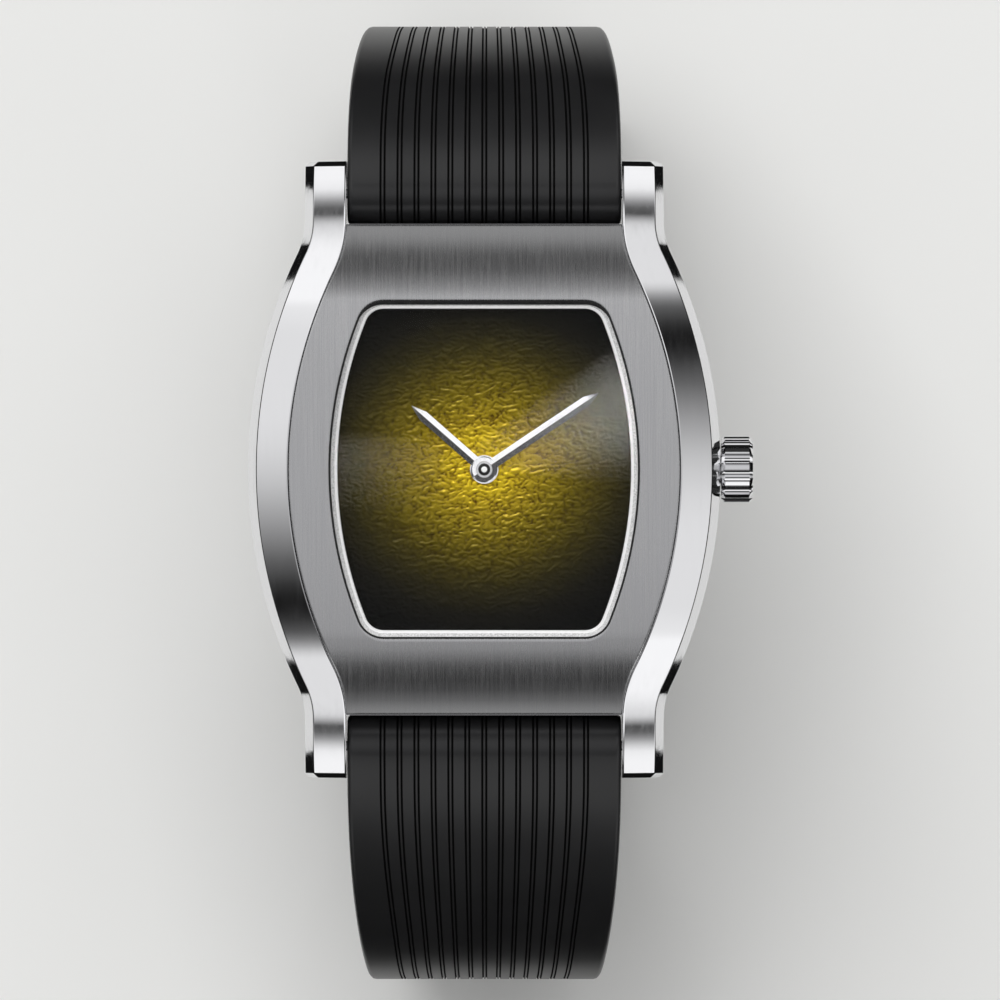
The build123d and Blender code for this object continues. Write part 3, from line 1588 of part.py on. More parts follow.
buckle_pin_end = buckle_inner_half + pin_reach
for pin_side, pin_name in ((-1, "left"), (1, "right")):
    with BuildPart() as buckle_bar_pin:
        add(bar_pin(buckle_y, buckle_z, buckle_bar_length, buckle_pin_end, pin_side))
    step_file(buckle_bar_pin, f"buckle_bar_pin_{pin_name}")

# Buckle frame: flat rounded ring; its near ends hold the bar's pins and the strap's end lies inside
frame_length = buckle_back + buckle_reach
frame_middle_y = buckle_y + (buckle_back - buckle_reach) / 2
window_length = frame_length - buckle_cross
with BuildPart() as buckle_frame:
    with BuildSketch(Plane.XY.offset(buckle_z - buckle_thickness / 2)) as frame_outline:
        with Locations((0, frame_middle_y)):
            Rectangle(2 * (buckle_inner_half + buckle_arm), frame_length)
        fillet(frame_outline.vertices().group_by(Axis.Y)[0], buckle_corner)
        with Locations((0, frame_middle_y + buckle_cross / 2 + overrun / 2)):
            Rectangle(2 * buckle_inner_half, window_length + overrun, mode=Mode.SUBTRACT)
    extrude(amount=buckle_thickness)
    chamfer(buckle_frame.faces().sort_by(Axis.Z)[-1].outer_wire().edges(), buckle_edge)
    chamfer(buckle_frame.faces().sort_by(Axis.Z)[0].outer_wire().edges(), buckle_edge)
    with BuildSketch(Plane.YZ):
        with Locations((buckle_y, buckle_z)):
            Circle(pin_radius + seat_gap)
    extrude(amount=buckle_inner_half + lug_hole_depth, both=True, mode=Mode.SUBTRACT)
step_file(buckle_frame, "buckle_frame")

# Buckle tongue: an eye round the bar and a pin that lies on the frame's cross bar, on its outer side
tongue_top = buckle_z - buckle_thickness / 2 - seat_gap
tongue_tip_y = buckle_y - buckle_reach - tongue_overhang
with BuildPart() as buckle_tongue:
    with BuildSketch(Plane.YZ):
        with BuildLine():
            Polyline(
                (buckle_y, buckle_z),
                (buckle_y, buckle_z - buckle_wrap_radius),
                (buckle_y - buckle_wrap_radius, tongue_top - tongue_thickness),
                (tongue_tip_y, tongue_top - tongue_thickness / 2),
                (tongue_tip_y, tongue_top),
                (buckle_y - 2 * buckle_wrap_radius, tongue_top),
                close=True,
            )
        make_face()
        with Locations((buckle_y, buckle_z)):
            Circle(buckle_wrap_radius)
            Circle(bar_radius + running_gap, mode=Mode.SUBTRACT)
    extrude(amount=tongue_width / 2, both=True)
step_file(buckle_tongue, "buckle_tongue")


def keeper_outline():
    """Cross-section of a keeper: a loop round the strap with room for the tail outside it."""
    inner_half = strap_narrow_width / 2 + keeper_side_gap
    loop_inner = -strap_half_thickness - seat_gap
    loop_outer = strap_half_thickness + tail_room
    middle = (loop_inner + loop_outer) / 2
    height = loop_outer - loop_inner
    with BuildSketch() as outline:
        with Locations((0, middle)):
            RectangleRounded(2 * (inner_half + keeper_wall), height + 2 * keeper_wall, keeper_wall)
            Rectangle(2 * inner_half, height, mode=Mode.SUBTRACT)
    return outline.sketch


# Fixed keeper: on the straight stretch before the buckle
fixed_keeper_start = short_length - short_straight + 2 * seat_gap
with BuildPart() as fixed_keeper:
    with BuildSketch(strap_plane(short_path, 1, fixed_keeper_start)):
        add(keeper_outline())
    extrude(amount=keeper_length)
step_file(fixed_keeper, "fixed_keeper")

# Sliding keeper: the same loop, curved like the stretch of strap that it slides along
keeper_turn_deg = degrees(keeper_length / short_bottom_radius)
keeper_middle = short_length - short_straight - short_bottom_radius * radians(sliding_keeper_deg)
keeper_start = keeper_middle - keeper_length / 2
keeper_centre = (
    buckle_y + short_straight,
    buckle_z + short_bottom_radius,
)
with BuildPart() as sliding_keeper:
    with BuildSketch(strap_plane(short_path, 1, keeper_start)):
        add(keeper_outline())
    revolve(
        axis=Axis((0, *keeper_centre), (-1, 0, 0)),
        revolution_arc=keeper_turn_deg,
    )
step_file(sliding_keeper, "sliding_keeper")
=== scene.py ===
import math

import bmesh
import bpy
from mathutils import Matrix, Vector, noise


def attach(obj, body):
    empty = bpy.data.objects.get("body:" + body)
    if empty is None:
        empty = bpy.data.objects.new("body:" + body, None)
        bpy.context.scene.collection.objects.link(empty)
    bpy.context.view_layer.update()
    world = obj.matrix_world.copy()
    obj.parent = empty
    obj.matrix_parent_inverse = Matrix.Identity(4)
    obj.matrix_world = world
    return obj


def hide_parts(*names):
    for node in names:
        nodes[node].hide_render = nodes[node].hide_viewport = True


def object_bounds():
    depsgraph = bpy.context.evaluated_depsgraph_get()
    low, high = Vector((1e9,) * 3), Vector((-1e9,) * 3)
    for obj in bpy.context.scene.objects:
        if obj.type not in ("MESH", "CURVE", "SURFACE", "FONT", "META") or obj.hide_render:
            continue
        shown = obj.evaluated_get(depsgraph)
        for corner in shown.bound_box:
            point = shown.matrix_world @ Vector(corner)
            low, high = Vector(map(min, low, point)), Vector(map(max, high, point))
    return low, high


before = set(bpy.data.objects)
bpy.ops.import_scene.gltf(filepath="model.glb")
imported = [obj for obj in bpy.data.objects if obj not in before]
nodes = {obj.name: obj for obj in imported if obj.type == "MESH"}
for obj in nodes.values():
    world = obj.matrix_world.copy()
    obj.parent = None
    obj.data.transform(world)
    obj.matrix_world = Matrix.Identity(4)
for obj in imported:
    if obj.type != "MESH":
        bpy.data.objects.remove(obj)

cad_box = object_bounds()
MM = 0.001


# Camera: straight above the dial, a little right of and below the axis of the hands, with a long lens.
# Its frame is 80 mm wide at the dial
def placed(name, data):
    """New object in the scene, for a camera, a lamp or a mesh."""
    made = bpy.data.objects.new(name, data)
    bpy.context.scene.collection.objects.link(made)
    return made


camera_data = bpy.data.cameras.new("camera")
camera_data.lens = 360
camera_data.sensor_width = 36
camera_data.clip_start = 0.01
camera_data.clip_end = 10
camera = placed("camera", camera_data)
camera.location = (1.26 * MM, -2.44 * MM, 0.8066)
bpy.context.scene.camera = camera
bpy.context.scene.view_settings.view_transform = "Standard"


def linear(code):
    """Linear colour for an sRGB hex code."""
    channels = [int(code[start : start + 2], 16) / 255 for start in (1, 3, 5)]
    return tuple(
        level / 12.92 if level <= 0.04045 else ((level + 0.055) / 1.055) ** 2.4 for level in channels
    ) + (1,)


def node(tree, kind, settings=None, inputs=None, stops=None):
    """Adds a node with its settings, its inputs (values, nodes or their outputs) and a ramp's stops."""
    made = tree.nodes.new(kind)
    for name, value in (settings or {}).items():
        setattr(made, name, value)
    for name, value in (inputs or {}).items():
        if isinstance(value, bpy.types.Node):
            value = value.outputs[0]
        if isinstance(value, bpy.types.NodeSocket):
            tree.links.new(value, made.inputs[name])
        else:
            made.inputs[name].default_value = value
    if stops:
        ramp = made.color_ramp.elements
        while len(ramp) < len(stops):
            ramp.new(0.5)
        for element, (place, colour) in zip(ramp, stops):
            element.position = place
            element.color = colour if isinstance(colour, tuple) else (colour, colour, colour, 1)
    return made


def out_of(whole, stops):
    """Ramp stops whose places are given in degrees out of a whole."""
    return [(at / whole, level) for at, level in stops]


# Sky: a studio tent as polished steel sees it. Each ramp gives how light the cloth is, by height above the
# horizon or by heading, both in degrees. The walls look the same from opposite sides, and for camera rays
# the whole sky is plain and pale
sky = bpy.data.worlds.new("studio_tent")
bpy.context.scene.world = sky
sky.use_nodes = True
tree = sky.node_tree
tree.nodes.clear()
ray = node(tree, "ShaderNodeTexCoord")
way = node(tree, "ShaderNodeSeparateXYZ", inputs={0: ray.outputs["Generated"]})
height_rad = node(tree, "ShaderNodeMath", {"operation": "ARCSINE"}, {0: way.outputs["Z"]})
height = node(tree, "ShaderNodeMath", {"operation": "DIVIDE"}, {0: height_rad, 1: math.pi / 2})
heading_rad = node(
    tree, "ShaderNodeMath", {"operation": "ARCTAN2"}, {0: way.outputs["X"], 1: way.outputs["Y"]}
)
half_turns = node(tree, "ShaderNodeMath", {"operation": "DIVIDE"}, {0: heading_rad, 1: math.pi})
heading = node(tree, "ShaderNodeMath", {"operation": "FRACT"}, {0: half_turns})
turn = node(tree, "ShaderNodeMath", {"operation": "MULTIPLY_ADD"}, {0: half_turns, 1: 0.5, 2: 0.5})

# Walls: white near the ground, a dark gap, then light again, crossed by a dark post and a bright strip
walls_deg = [
    (6, 0.98), (9, 0.95), (11.4, 0.90), (14.2, 0.62), (16.7, 0.34),
    (19.2, 0.15), (21.6, 0.10), (23.8, 0.58), (24.9, 0.95), (25.6, 1.0),
]
round_deg = [
    (32.5, 1.0), (36, 0.785), (46.8, 0.785), (49.4, 0.63), (52.2, 0.38),
    (55.2, 0.20), (58.6, 0.10), (61, 0.035), (63, 0.012), (65, 0.012),
    (67.5, 0.035), (72.1, 0.12), (77, 0.26), (82.1, 0.41), (87.2, 0.577),
    (90, 0.65), (95, 0.75), (100, 0.785), (117, 0.785), (121.4, 0.86),
    (125.5, 1.0), (137.5, 1.0), (138.8, 0.785), (144, 0.785), (147.5, 1.0),
]
walls = node(tree, "ShaderNodeValToRGB", inputs={0: height}, stops=out_of(90, walls_deg))
round_walls = node(tree, "ShaderNodeValToRGB", inputs={0: heading}, stops=out_of(180, round_deg))
low_sky = node(tree, "ShaderNodeMath", {"operation": "MULTIPLY"}, {0: walls, 1: round_walls})

# Dark cloths low at both sides, and low behind and in front
dark_cloth = (0.03, 0.03, 0.03, 1)
hung = []
for heading_deg, height_deg in (
    ([(50, 0.0), (56, 1.0), (124, 1.0), (130, 0.0)], [(30, 1.0), (33, 0.0)]),
    ([(18, 1.0), (23, 0.0), (157, 0.0), (162, 1.0)], [(24, 1.0), (31, 0.0)]),
):
    wide = node(tree, "ShaderNodeValToRGB", inputs={0: heading}, stops=out_of(180, heading_deg))
    tall = node(tree, "ShaderNodeValToRGB", inputs={0: height}, stops=out_of(90, height_deg))
    hung.append(node(tree, "ShaderNodeMath", {"operation": "MULTIPLY"}, {0: wide, 1: tall}))
cloths = node(tree, "ShaderNodeMath", {"operation": "MAXIMUM"}, {0: hung[0], 1: hung[1]})
hung_sky = node(
    tree, "ShaderNodeMix", {"data_type": "RGBA"}, {"Factor": cloths, 6: low_sky, 7: dark_cloth}
)

# Overhead: two white panels towards 12 o'clock, dark cloth between and behind them, and a grey top
tent_top = (0.59, 0.59, 0.60, 1)
panels_deg = [
    (10, 0.03), (50, 0.03), (80, 0.40), (110, 0.55), (128, 1.0), (152, 1.0), (158, 0.04),
    (202, 0.04), (208, 1.0), (232, 1.0), (250, 0.55), (280, 0.40), (310, 0.03), (350, 0.03),
]
panels = node(tree, "ShaderNodeValToRGB", inputs={0: turn}, stops=out_of(360, panels_deg))
to_panels = node(
    tree, "ShaderNodeValToRGB", inputs={0: height}, stops=out_of(90, [(44, 0.0), (53, 1.0)])
)
over_walls = node(
    tree,
    "ShaderNodeMix",
    {"data_type": "RGBA"},
    {"Factor": to_panels, 6: hung_sky.outputs[2], 7: panels},
)
to_top = node(
    tree, "ShaderNodeValToRGB", inputs={0: height}, stops=out_of(90, [(62, 0.0), (78, 1.0)])
)
whole_sky = node(
    tree,
    "ShaderNodeMix",
    {"data_type": "RGBA"},
    {"Factor": to_top, 6: over_walls.outputs[2], 7: tent_top},
)
sight = node(tree, "ShaderNodeLightPath")
painted = node(tree, "ShaderNodeBackground", inputs={"Color": whole_sky.outputs[2], "Strength": 1.15})
plain = node(tree, "ShaderNodeBackground", inputs={"Color": linear("#EFEFED")})
seen = node(
    tree, "ShaderNodeMixShader", inputs={0: sight.outputs["Is Camera Ray"], 1: painted, 2: plain}
)
node(tree, "ShaderNodeOutputWorld", inputs={"Surface": seen})


def area_lamp(name, place, size, watts, only_on=None):
    """Oblong lamp, in metres, turned towards the watch; it may light one piece alone, past all others."""
    lamp_data = bpy.data.lights.new(name, "AREA")
    lamp_data.shape = "RECTANGLE"
    lamp_data.size, lamp_data.size_y = size
    lamp_data.energy = watts
    lamp = placed(name, lamp_data)
    lamp.location = place
    lamp.rotation_euler = (-Vector(place)).to_track_quat("-Z", "Y").to_euler()
    lamp.visible_camera = False
    if only_on:
        lit = bpy.data.collections.new(name + "_on")
        lit.objects.link(only_on)
        lamp.light_linking.receiver_collection = lit
        lamp.light_linking.blocker_collection = lit
    return lamp


# Overhead softbox, towards 12 o'clock: it lights what is not metal and gives the soft shadows
softbox = area_lamp("softbox", (-0.1, 0.28, 0.62), (0.45, 0.45), 2.6)
softbox.visible_glossy = False


def new_material(name):
    """Material with an empty node tree, and that tree."""
    material = bpy.data.materials.new(name)
    material.use_nodes = True
    material.node_tree.nodes.clear()
    return material, material.node_tree


def backdrop(name, corners, faces, material_name, shader, inputs):
    """Flat piece of the studio, with a material of one shader."""
    mesh = bpy.data.meshes.new(name)
    mesh.from_pydata(corners, [], faces)
    material, tree = new_material(material_name)
    node(tree, "ShaderNodeOutputMaterial", inputs={"Surface": node(tree, shader, inputs=inputs)})
    mesh.materials.append(material)
    return placed(name, mesh)


# Floor: a matt pale board under the watch
floor_z = cad_box[0].z
floor_half = 2.0
floor = backdrop(
    "floor",
    [(x * floor_half, y * floor_half, floor_z) for x, y in ((-1, -1), (1, -1), (1, 1), (-1, 1))],
    [(0, 1, 2, 3)],
    "matt_painted_board",
    "ShaderNodeBsdfPrincipled",
    {"Base Color": linear("#F0F0EE"), "Roughness": 0.9, "Specular IOR Level": 0.1},
)

# Black velvet round the watch, out of sight and seen only by what reflects: it draws the dark lines along
# the edges of polished steel
velvet_z = floor_z + 0.0002
velvet_near, velvet_end, velvet_far = 0.112, 0.0497, 1.9
near_card, card_start, gap_half, gap_end = 0.074, 0.044, 0.055, 0.062
end_card = [
    (velvet_near, velvet_end),
    (velvet_far, velvet_far),
    (-velvet_far, velvet_far),
    (-velvet_near, velvet_end),
    (-near_card, velvet_end),
    (-near_card, card_start),
    (-gap_half, card_start),
    (-gap_half, gap_end),
    (gap_half, gap_end),
    (gap_half, card_start),
    (near_card, card_start),
    (near_card, velvet_end),
]
side_card = [
    (velvet_near, velvet_end),
    (velvet_near, -velvet_end),
    (velvet_far, -velvet_far),
    (velvet_far, velvet_far),
]
cards = [[(x, y * side) for x, y in end_card] for side in (1, -1)]
cards += [[(x * side, y) for x, y in side_card] for side in (1, -1)]
velvet_faces = []
for card in cards:
    first = sum(len(face) for face in velvet_faces)
    velvet_faces.append(tuple(range(first, first + len(card))))
velvet = backdrop(
    "velvet",
    [(*corner, velvet_z) for card in cards for corner in card],
    velvet_faces,
    "black_velvet",
    "ShaderNodeBsdfDiffuse",
    {"Color": linear("#141414")},
)
for seen_by in ("camera", "diffuse", "transmission", "shadow", "volume_scatter"):
    setattr(velvet, "visible_" + seen_by, False)


def rounded(corners, radii, steps=3, hold=0.03):
    """Closed outline through corners, each rounded to its own radius; a radius of 0 stays sharp.

    A point close to each end of an arc keeps the shading of the flats even.
    """
    outline = []
    count = len(corners)
    for turn_at, (corner, radius) in enumerate(zip(corners, radii)):
        here = Vector(corner)
        if radius == 0:
            outline.append(tuple(here))
            continue
        back = (Vector(corners[turn_at - 1]) - here).normalized()
        ahead = (Vector(corners[(turn_at + 1) % count]) - here).normalized()
        angle = back.angle(ahead)
        reach = radius / math.tan(angle / 2)
        centre = here + (back + ahead).normalized() * (radius / math.sin(angle / 2))
        first = here + back * reach - centre
        last = here + ahead * reach - centre
        sweep = first.angle(last)
        outline.append(tuple(centre + first + back * hold))
        for step in range(steps + 1):
            share = step / steps
            arm = (
                first * math.sin((1 - share) * sweep) + last * math.sin(share * sweep)
            ) / math.sin(sweep)
            outline.append(tuple(centre + arm))
        outline.append(tuple(centre + last + ahead * hold))
    return outline


def skin(rings, capped=True, looped=False):
    """Corners and faces of a surface through closed rings with equal numbers of points."""
    size = len(rings[0])
    corners = [point for ring in rings for point in ring]
    faces = []
    for row in range(len(rings) if looped else len(rings) - 1):
        here = row * size
        there = (row + 1) % len(rings) * size
        for step in range(size):
            after = (step + 1) % size
            faces.append((here + step, here + after, there + after, there + step))
    if capped:
        faces.append(tuple(range(size)))
        faces.append(tuple(range(len(corners) - size, len(corners))))
    return corners, faces


def joined(*parts):
    """One list of corners and one of faces from several."""
    corners = []
    faces = []
    for part_corners, part_faces in parts:
        faces += [tuple(index + len(corners) for index in face) for face in part_faces]
        corners += part_corners
    return corners, faces


def mesh_of(name, shape):
    """Mesh of a shape: its corners, in millimetres, and its faces."""
    mesh = bpy.data.meshes.new(name)
    mesh.from_pydata([tuple(value * MM for value in corner) for corner in shape[0]], [], shape[1])
    return mesh


def make_piece(
    name, shape, material, body, stands_for, sharp_deg=35, grain=False, second=None, holes=None
):
    """Piece from corners in millimetres and faces: smooth but for its sharp edges, on its body.

    second, where given, is another material and the test that picks its faces by number. holes is a shape
    that is cut out of the piece.
    """
    weld_reach = 1e-7
    mesh = mesh_of(name, shape)
    if second:
        for face in mesh.polygons:
            face.material_index = int(second[1](face.index))
    welded = bmesh.new()
    welded.from_mesh(mesh)
    bmesh.ops.remove_doubles(welded, verts=welded.verts, dist=weld_reach)
    bmesh.ops.recalc_face_normals(welded, faces=welded.faces)
    welded.to_mesh(mesh)
    welded.free()
    mesh.materials.append(material)
    if second:
        mesh.materials.append(second[0])
    mesh.shade_smooth()
    mesh.set_sharp_from_angle(angle=math.radians(sharp_deg))
    if grain:
        flat = mesh.uv_layers.new(name="grain")
        for loop in mesh.loops:
            flat.data[loop.index].uv = mesh.vertices[loop.vertex_index].co.xy / MM
    piece = placed(name, mesh)
    if holes:
        cutter = placed("cutter", mesh_of("cutter", holes))
        drill = piece.modifiers.new("holes", "BOOLEAN")
        drill.operation, drill.solver, drill.object = "DIFFERENCE", "EXACT", cutter
        bpy.context.view_layer.update()
        drilled = piece.evaluated_get(bpy.context.evaluated_depsgraph_get())
        piece.data = bpy.data.meshes.new_from_object(drilled)
        piece.data.set_sharp_from_angle(angle=math.radians(sharp_deg))
        piece.modifiers.remove(drill)
        bpy.data.objects.remove(cutter)
    even = piece.modifiers.new("even_normals", "WEIGHTED_NORMAL")
    even.keep_sharp = True
    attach(piece, body)
    if stands_for:
        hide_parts(*stands_for)
    return piece


# Case middle: stainless steel, milled from one block. The two side rails run out into the lugs and are
# polished; between them lies the container for the movement, bored out from below
case_half_width, case_radius, lug_outer, lug_outer_blend = 18.9, 40.0, 14.4, 6.0
bezel_half_width, bezel_radius, lug_inner, lug_inner_blend = 15.64, 36.0, 11.07, 9.5
bezel_half_length = 19.65
lug_half_length = 24.8
flat_half, flat_radius, shoulder_radius = 13.0, 150.0, 20.0
rail_top, band_width, band_drop = 9.1, 0.7, 1.2
rail_slope = math.tan(math.radians(22))
case_bottom, belly_start, belly_sag = 0.4, 16.0, 0.78
container_top = 6.15
caseback_seat = 1.0


def side_x(y, half_width, radius, neck, blend):
    """Half width of the lugged outline: a bowed side that runs through a hollow into a straight neck."""
    run = neck + blend - (half_width - radius)
    rise = math.sqrt((radius + blend) ** 2 - run**2)
    if abs(y) <= radius / (radius + blend) * rise:
        return half_width - radius + math.sqrt(radius**2 - y**2)
    if abs(y) < rise:
        return neck + blend - math.sqrt(blend**2 - (rise - abs(y)) ** 2)
    return neck


def side_drop(y):
    """Fall of the case's top line towards its ends."""
    if abs(y) <= flat_half:
        return flat_radius - math.sqrt(flat_radius**2 - y**2)
    slope = math.asin(flat_half / flat_radius)
    reach = math.sin(slope) + (abs(y) - flat_half) / shoulder_radius
    return flat_radius * (1 - math.cos(slope)) + shoulder_radius * (
        math.cos(slope) - math.sqrt(1 - reach**2)
    )


def rail_ring(y, side, inset):
    """Section of a rail: polished top that slopes outwards, steep band, upright side, small round edges."""
    inner = side_x(y, bezel_half_width, bezel_radius, lug_inner, lug_inner_blend)
    outer = side_x(y, case_half_width, case_radius, lug_outer, lug_outer_blend) - inset
    band = outer - band_width
    inner_z = rail_top - side_drop(y) - inset
    band_z = inner_z - (band - inner) * rail_slope
    past = max(abs(y) - belly_start, 0)
    belly = case_bottom - belly_sag * (past / (lug_half_length - belly_start)) ** 2 + inset
    outline = rounded(
        [
            (inner, belly),
            (outer, belly),
            (outer, band_z - band_drop),
            (band, band_z),
            (inner, inner_z),
        ],
        [0, 0.15, 0.10, 0.15, 0.10],
    )
    return [(side * x, y, z) for x, z in outline]


tip_bevel = 0.35
bevel_start = lug_half_length - tip_bevel
bevel_round = [(-0.05, 0.0), (0.0, 0.012), (0.05, 0.05), (0.30, 0.30), (0.34, 0.35), (0.35, 0.40)]
even_end = bevel_start - 0.1
rail_step = 0.25
rail_count = int(2 * even_end / rail_step)
rail_places = [(-bevel_start - past, inset) for past, inset in reversed(bevel_round)]
rail_places += [(2 * even_end * step / rail_count - even_end, 0) for step in range(rail_count + 1)]
rail_places += [(bevel_start + past, inset) for past, inset in bevel_round]
rails = [skin([rail_ring(y, side, inset) for y, inset in rail_places]) for side in (1, -1)]

barrel_half_width, barrel_radius, barrel_half_length, barrel_corner = 12.4, 32.8, 13.5, 2.2
side_points, corner_points, end_points = 24, 10, 12


def barrel_arcs(
    inset,
    half_width=barrel_half_width,
    radius=barrel_radius,
    half_length=barrel_half_length,
    corner=barrel_corner,
):
    """Arcs of a barrel outline: bowed side, end and corner, and the angle where side and corner meet."""
    bow = radius - inset
    centre_x = half_width - radius
    length = half_length - inset
    turn = max(corner - inset, corner * 0.3)
    corner_x = centre_x + math.sqrt((bow - turn) ** 2 - (length - turn) ** 2)
    lean = math.atan2(length - turn, corner_x - centre_x)
    return bow, centre_x, length, turn, corner_x, lean


def mirrored(quarter, length, z):
    """Ring from its first quarter, at a height or at heights that follow y."""
    rest = quarter[1:]
    ring = quarter + [(0, length)] + [(-x, y) for x, y in reversed(rest)] + [(-quarter[0][0], 0)]
    ring += [(-x, -y) for x, y in rest] + [(0, -length)] + [(x, -y) for x, y in reversed(rest)]
    return [(x, y, z(y) if callable(z) else z) for x, y in ring]


def barrel_ring(inset, z, **sizes):
    """Ring along a barrel outline with bowed sides, flat ends and round corners."""
    bow, centre_x, length, turn, corner_x, lean = barrel_arcs(inset, **sizes)
    quarter = []
    for step in range(side_points):
        angle = lean * step / side_points
        quarter.append((centre_x + bow * math.cos(angle), bow * math.sin(angle)))
    for step in range(corner_points):
        angle = lean + (math.pi / 2 - lean) * step / corner_points
        quarter.append((corner_x + turn * math.cos(angle), length - turn + turn * math.sin(angle)))
    quarter += [(corner_x * (1 - step / end_points), length) for step in range(end_points)]
    return mirrored(quarter, length, z)


def lugged_ring(inset, z):
    """Ring along the bezel's outline, with as many points as a barrel ring."""
    length = bezel_half_length - inset

    def edge(y):
        """Half width at y."""
        return side_x(
            y,
            bezel_half_width - inset,
            bezel_radius - inset,
            lug_inner - inset,
            lug_inner_blend + inset,
        )

    count = side_points + corner_points
    quarter = [(edge(length * step / count), length * step / count) for step in range(count)]
    quarter += [(edge(length) * (1 - step / end_points), length) for step in range(end_points)]
    return mirrored(quarter, length, z)


def caseback_ring(inset, z):
    """Ring along the caseback's outline."""
    return barrel_ring(inset, z, half_width=14.6, radius=35.0, half_length=17.5, corner=2.6)


bore_inset, caseback_gap = 0.45, 0.05
container = skin(
    [
        lugged_ring(0, case_bottom),
        lugged_ring(0, container_top),
        barrel_ring(bore_inset, container_top),
        barrel_ring(bore_inset, caseback_seat),
        caseback_ring(-caseback_gap, caseback_seat),
        caseback_ring(-caseback_gap, case_bottom),
    ],
    capped=False,
    looped=True,
)

# Polished stainless steel, buffed after brushing: a near mirror, whose hairlines only soften the edges of
# what it reflects. Real ones lie much closer; they are drawn at 0.4 mm, so that they show
polished_steel, tree = new_material("buffed_stainless_steel")
place = node(tree, "ShaderNodeTexCoord").outputs["Object"]
hair_place = node(tree, "ShaderNodeMapping", inputs={"Vector": place, "Scale": (2500, 160, 2500)})
hairlines = node(tree, "ShaderNodeTexNoise", inputs={"Vector": hair_place, "Detail": 3.0, "Scale": 1.0})
haze = node(tree, "ShaderNodeMapRange", inputs={0: hairlines, 1: 0.35, 2: 0.75, 3: 0.045, 4: 0.10})
buffing = node(
    tree, "ShaderNodeBump", inputs={"Height": hairlines, "Strength": 0.02, "Distance": 0.00002}
)
surface = node(
    tree,
    "ShaderNodeBsdfPrincipled",
    inputs={"Base Color": linear("#E7E7E9"), "Metallic": 1.0, "Roughness": haze, "Normal": buffing},
)
node(tree, "ShaderNodeOutputMaterial", inputs={"Surface": surface})
make_piece("case_rails", joined(*rails), polished_steel, "case", ["case_middle"])
make_piece("case_container", container, polished_steel, "case", ["case_middle"])

# Bezel: stainless steel plate pressed between the rails, curving down at both ends and brushed lengthwise
bezel_top = 9.4
bezel_gap = 0.04
edge_round = 0.07
edge_soft = edge_round * 0.3


def bezel_height(fall):
    """Height of the bezel's top, less a fall."""
    return lambda y: bezel_top - side_drop(y) - fall


def between(ring_a, ring_b, count, height):
    """Rings from one outline to another, on a surface whose height follows y."""
    rows = []
    for row in range(count + 1):
        share = row / count
        flat = [
            (a[0] + (b[0] - a[0]) * share, a[1] + (b[1] - a[1]) * share) for a, b in zip(ring_a, ring_b)
        ]
        rows.append([(x, y, height(y)) for x, y in flat])
    return rows


bezel_rings = [
    lugged_ring(bezel_gap, container_top),
    lugged_ring(bezel_gap, bezel_height(edge_round)),
    lugged_ring(bezel_gap + edge_soft, bezel_height(edge_soft)),
    *between(
        lugged_ring(bezel_gap + edge_round, 0), barrel_ring(-edge_round, 0), 30, bezel_height(0)
    ),
    barrel_ring(-edge_soft, bezel_height(edge_soft)),
    barrel_ring(0, bezel_height(edge_round)),
    barrel_ring(0, container_top),
]

# Brushed stainless steel: belt-ground along the case, so that each highlight is drawn out across the grain.
# Real lines are about 0.03 mm apart; the widest are drawn here at 0.09 mm, so that they show
brushed_steel, tree = new_material("belt_brushed_stainless_steel")
place = node(tree, "ShaderNodeTexCoord").outputs["Object"]
grain_place = node(tree, "ShaderNodeMapping", inputs={"Vector": place, "Scale": (11000, 130, 900)})
grain = node(
    tree,
    "ShaderNodeTexNoise",
    inputs={"Vector": grain_place, "Scale": 1.0, "Detail": 4.0, "Roughness": 0.65},
)
grain_tone = node(
    tree,
    "ShaderNodeValToRGB",
    inputs={0: grain},
    stops=[(0.25, linear("#CCCCCE")), (0.75, linear("#E3E3E4"))],
)
grain_gloss = node(tree, "ShaderNodeMapRange", inputs={0: grain, 1: 0.3, 2: 0.7, 3: 0.22, 4: 0.30})
grain_bump = node(
    tree, "ShaderNodeBump", inputs={"Height": grain, "Strength": 0.10, "Distance": 0.00002}
)
# Painted light and shade along the case: the plate's tone is made darker where it bends down at its ends,
# and lighter where the bend starts at 6 o'clock, in place of reflections there. Each level is how light the
# steel is painted there, beside its middle
shading_reach, shading_most = 20, 1.25
painted_shading_levels = [
    (-19.4, 0.36), (-18.4, 0.25), (-17.6, 0.27), (-16.8, 0.48), (-16.0, 0.95),
    (-15.2, 1.25), (-14.4, 1.25), (-13.6, 1.0), (13.6, 1.0), (14.5, 0.68),
    (15.2, 0.55), (16.0, 0.46), (17.4, 0.46), (18.7, 0.42), (19.6, 0.40),
]
along_case = node(tree, "ShaderNodeSeparateXYZ", inputs={0: place}).outputs["Y"]
case_share = node(
    tree,
    "ShaderNodeMapRange",
    inputs={0: along_case, 1: -shading_reach * MM, 2: shading_reach * MM, 3: 0.0, 4: 1.0},
)
painted_shading = node(
    tree,
    "ShaderNodeValToRGB",
    inputs={0: case_share},
    stops=[((y + shading_reach) / (2 * shading_reach), level / shading_most) for y, level in painted_shading_levels],
)
# The grain's tone times the painted shading
bezel_tone = node(
    tree,
    "ShaderNodeMix",
    {"data_type": "RGBA", "blend_type": "MULTIPLY", "clamp_result": False},
    {"Factor": 1.0, 6: grain_tone, 7: painted_shading},
)
along_grain = node(tree, "ShaderNodeTangent", {"direction_type": "UV_MAP", "uv_map": "grain"})
surface = node(
    tree,
    "ShaderNodeBsdfPrincipled",
    inputs={
        "Base Color": bezel_tone.outputs[2],
        "Metallic": 1.0,
        "Roughness": grain_gloss,
        "Anisotropic": 0.85,
        "Tangent": along_grain,
        "Normal": grain_bump,
    },
)
node(tree, "ShaderNodeOutputMaterial", inputs={"Surface": surface})
bezel_skin = skin(bezel_rings, capped=False, looped=True)
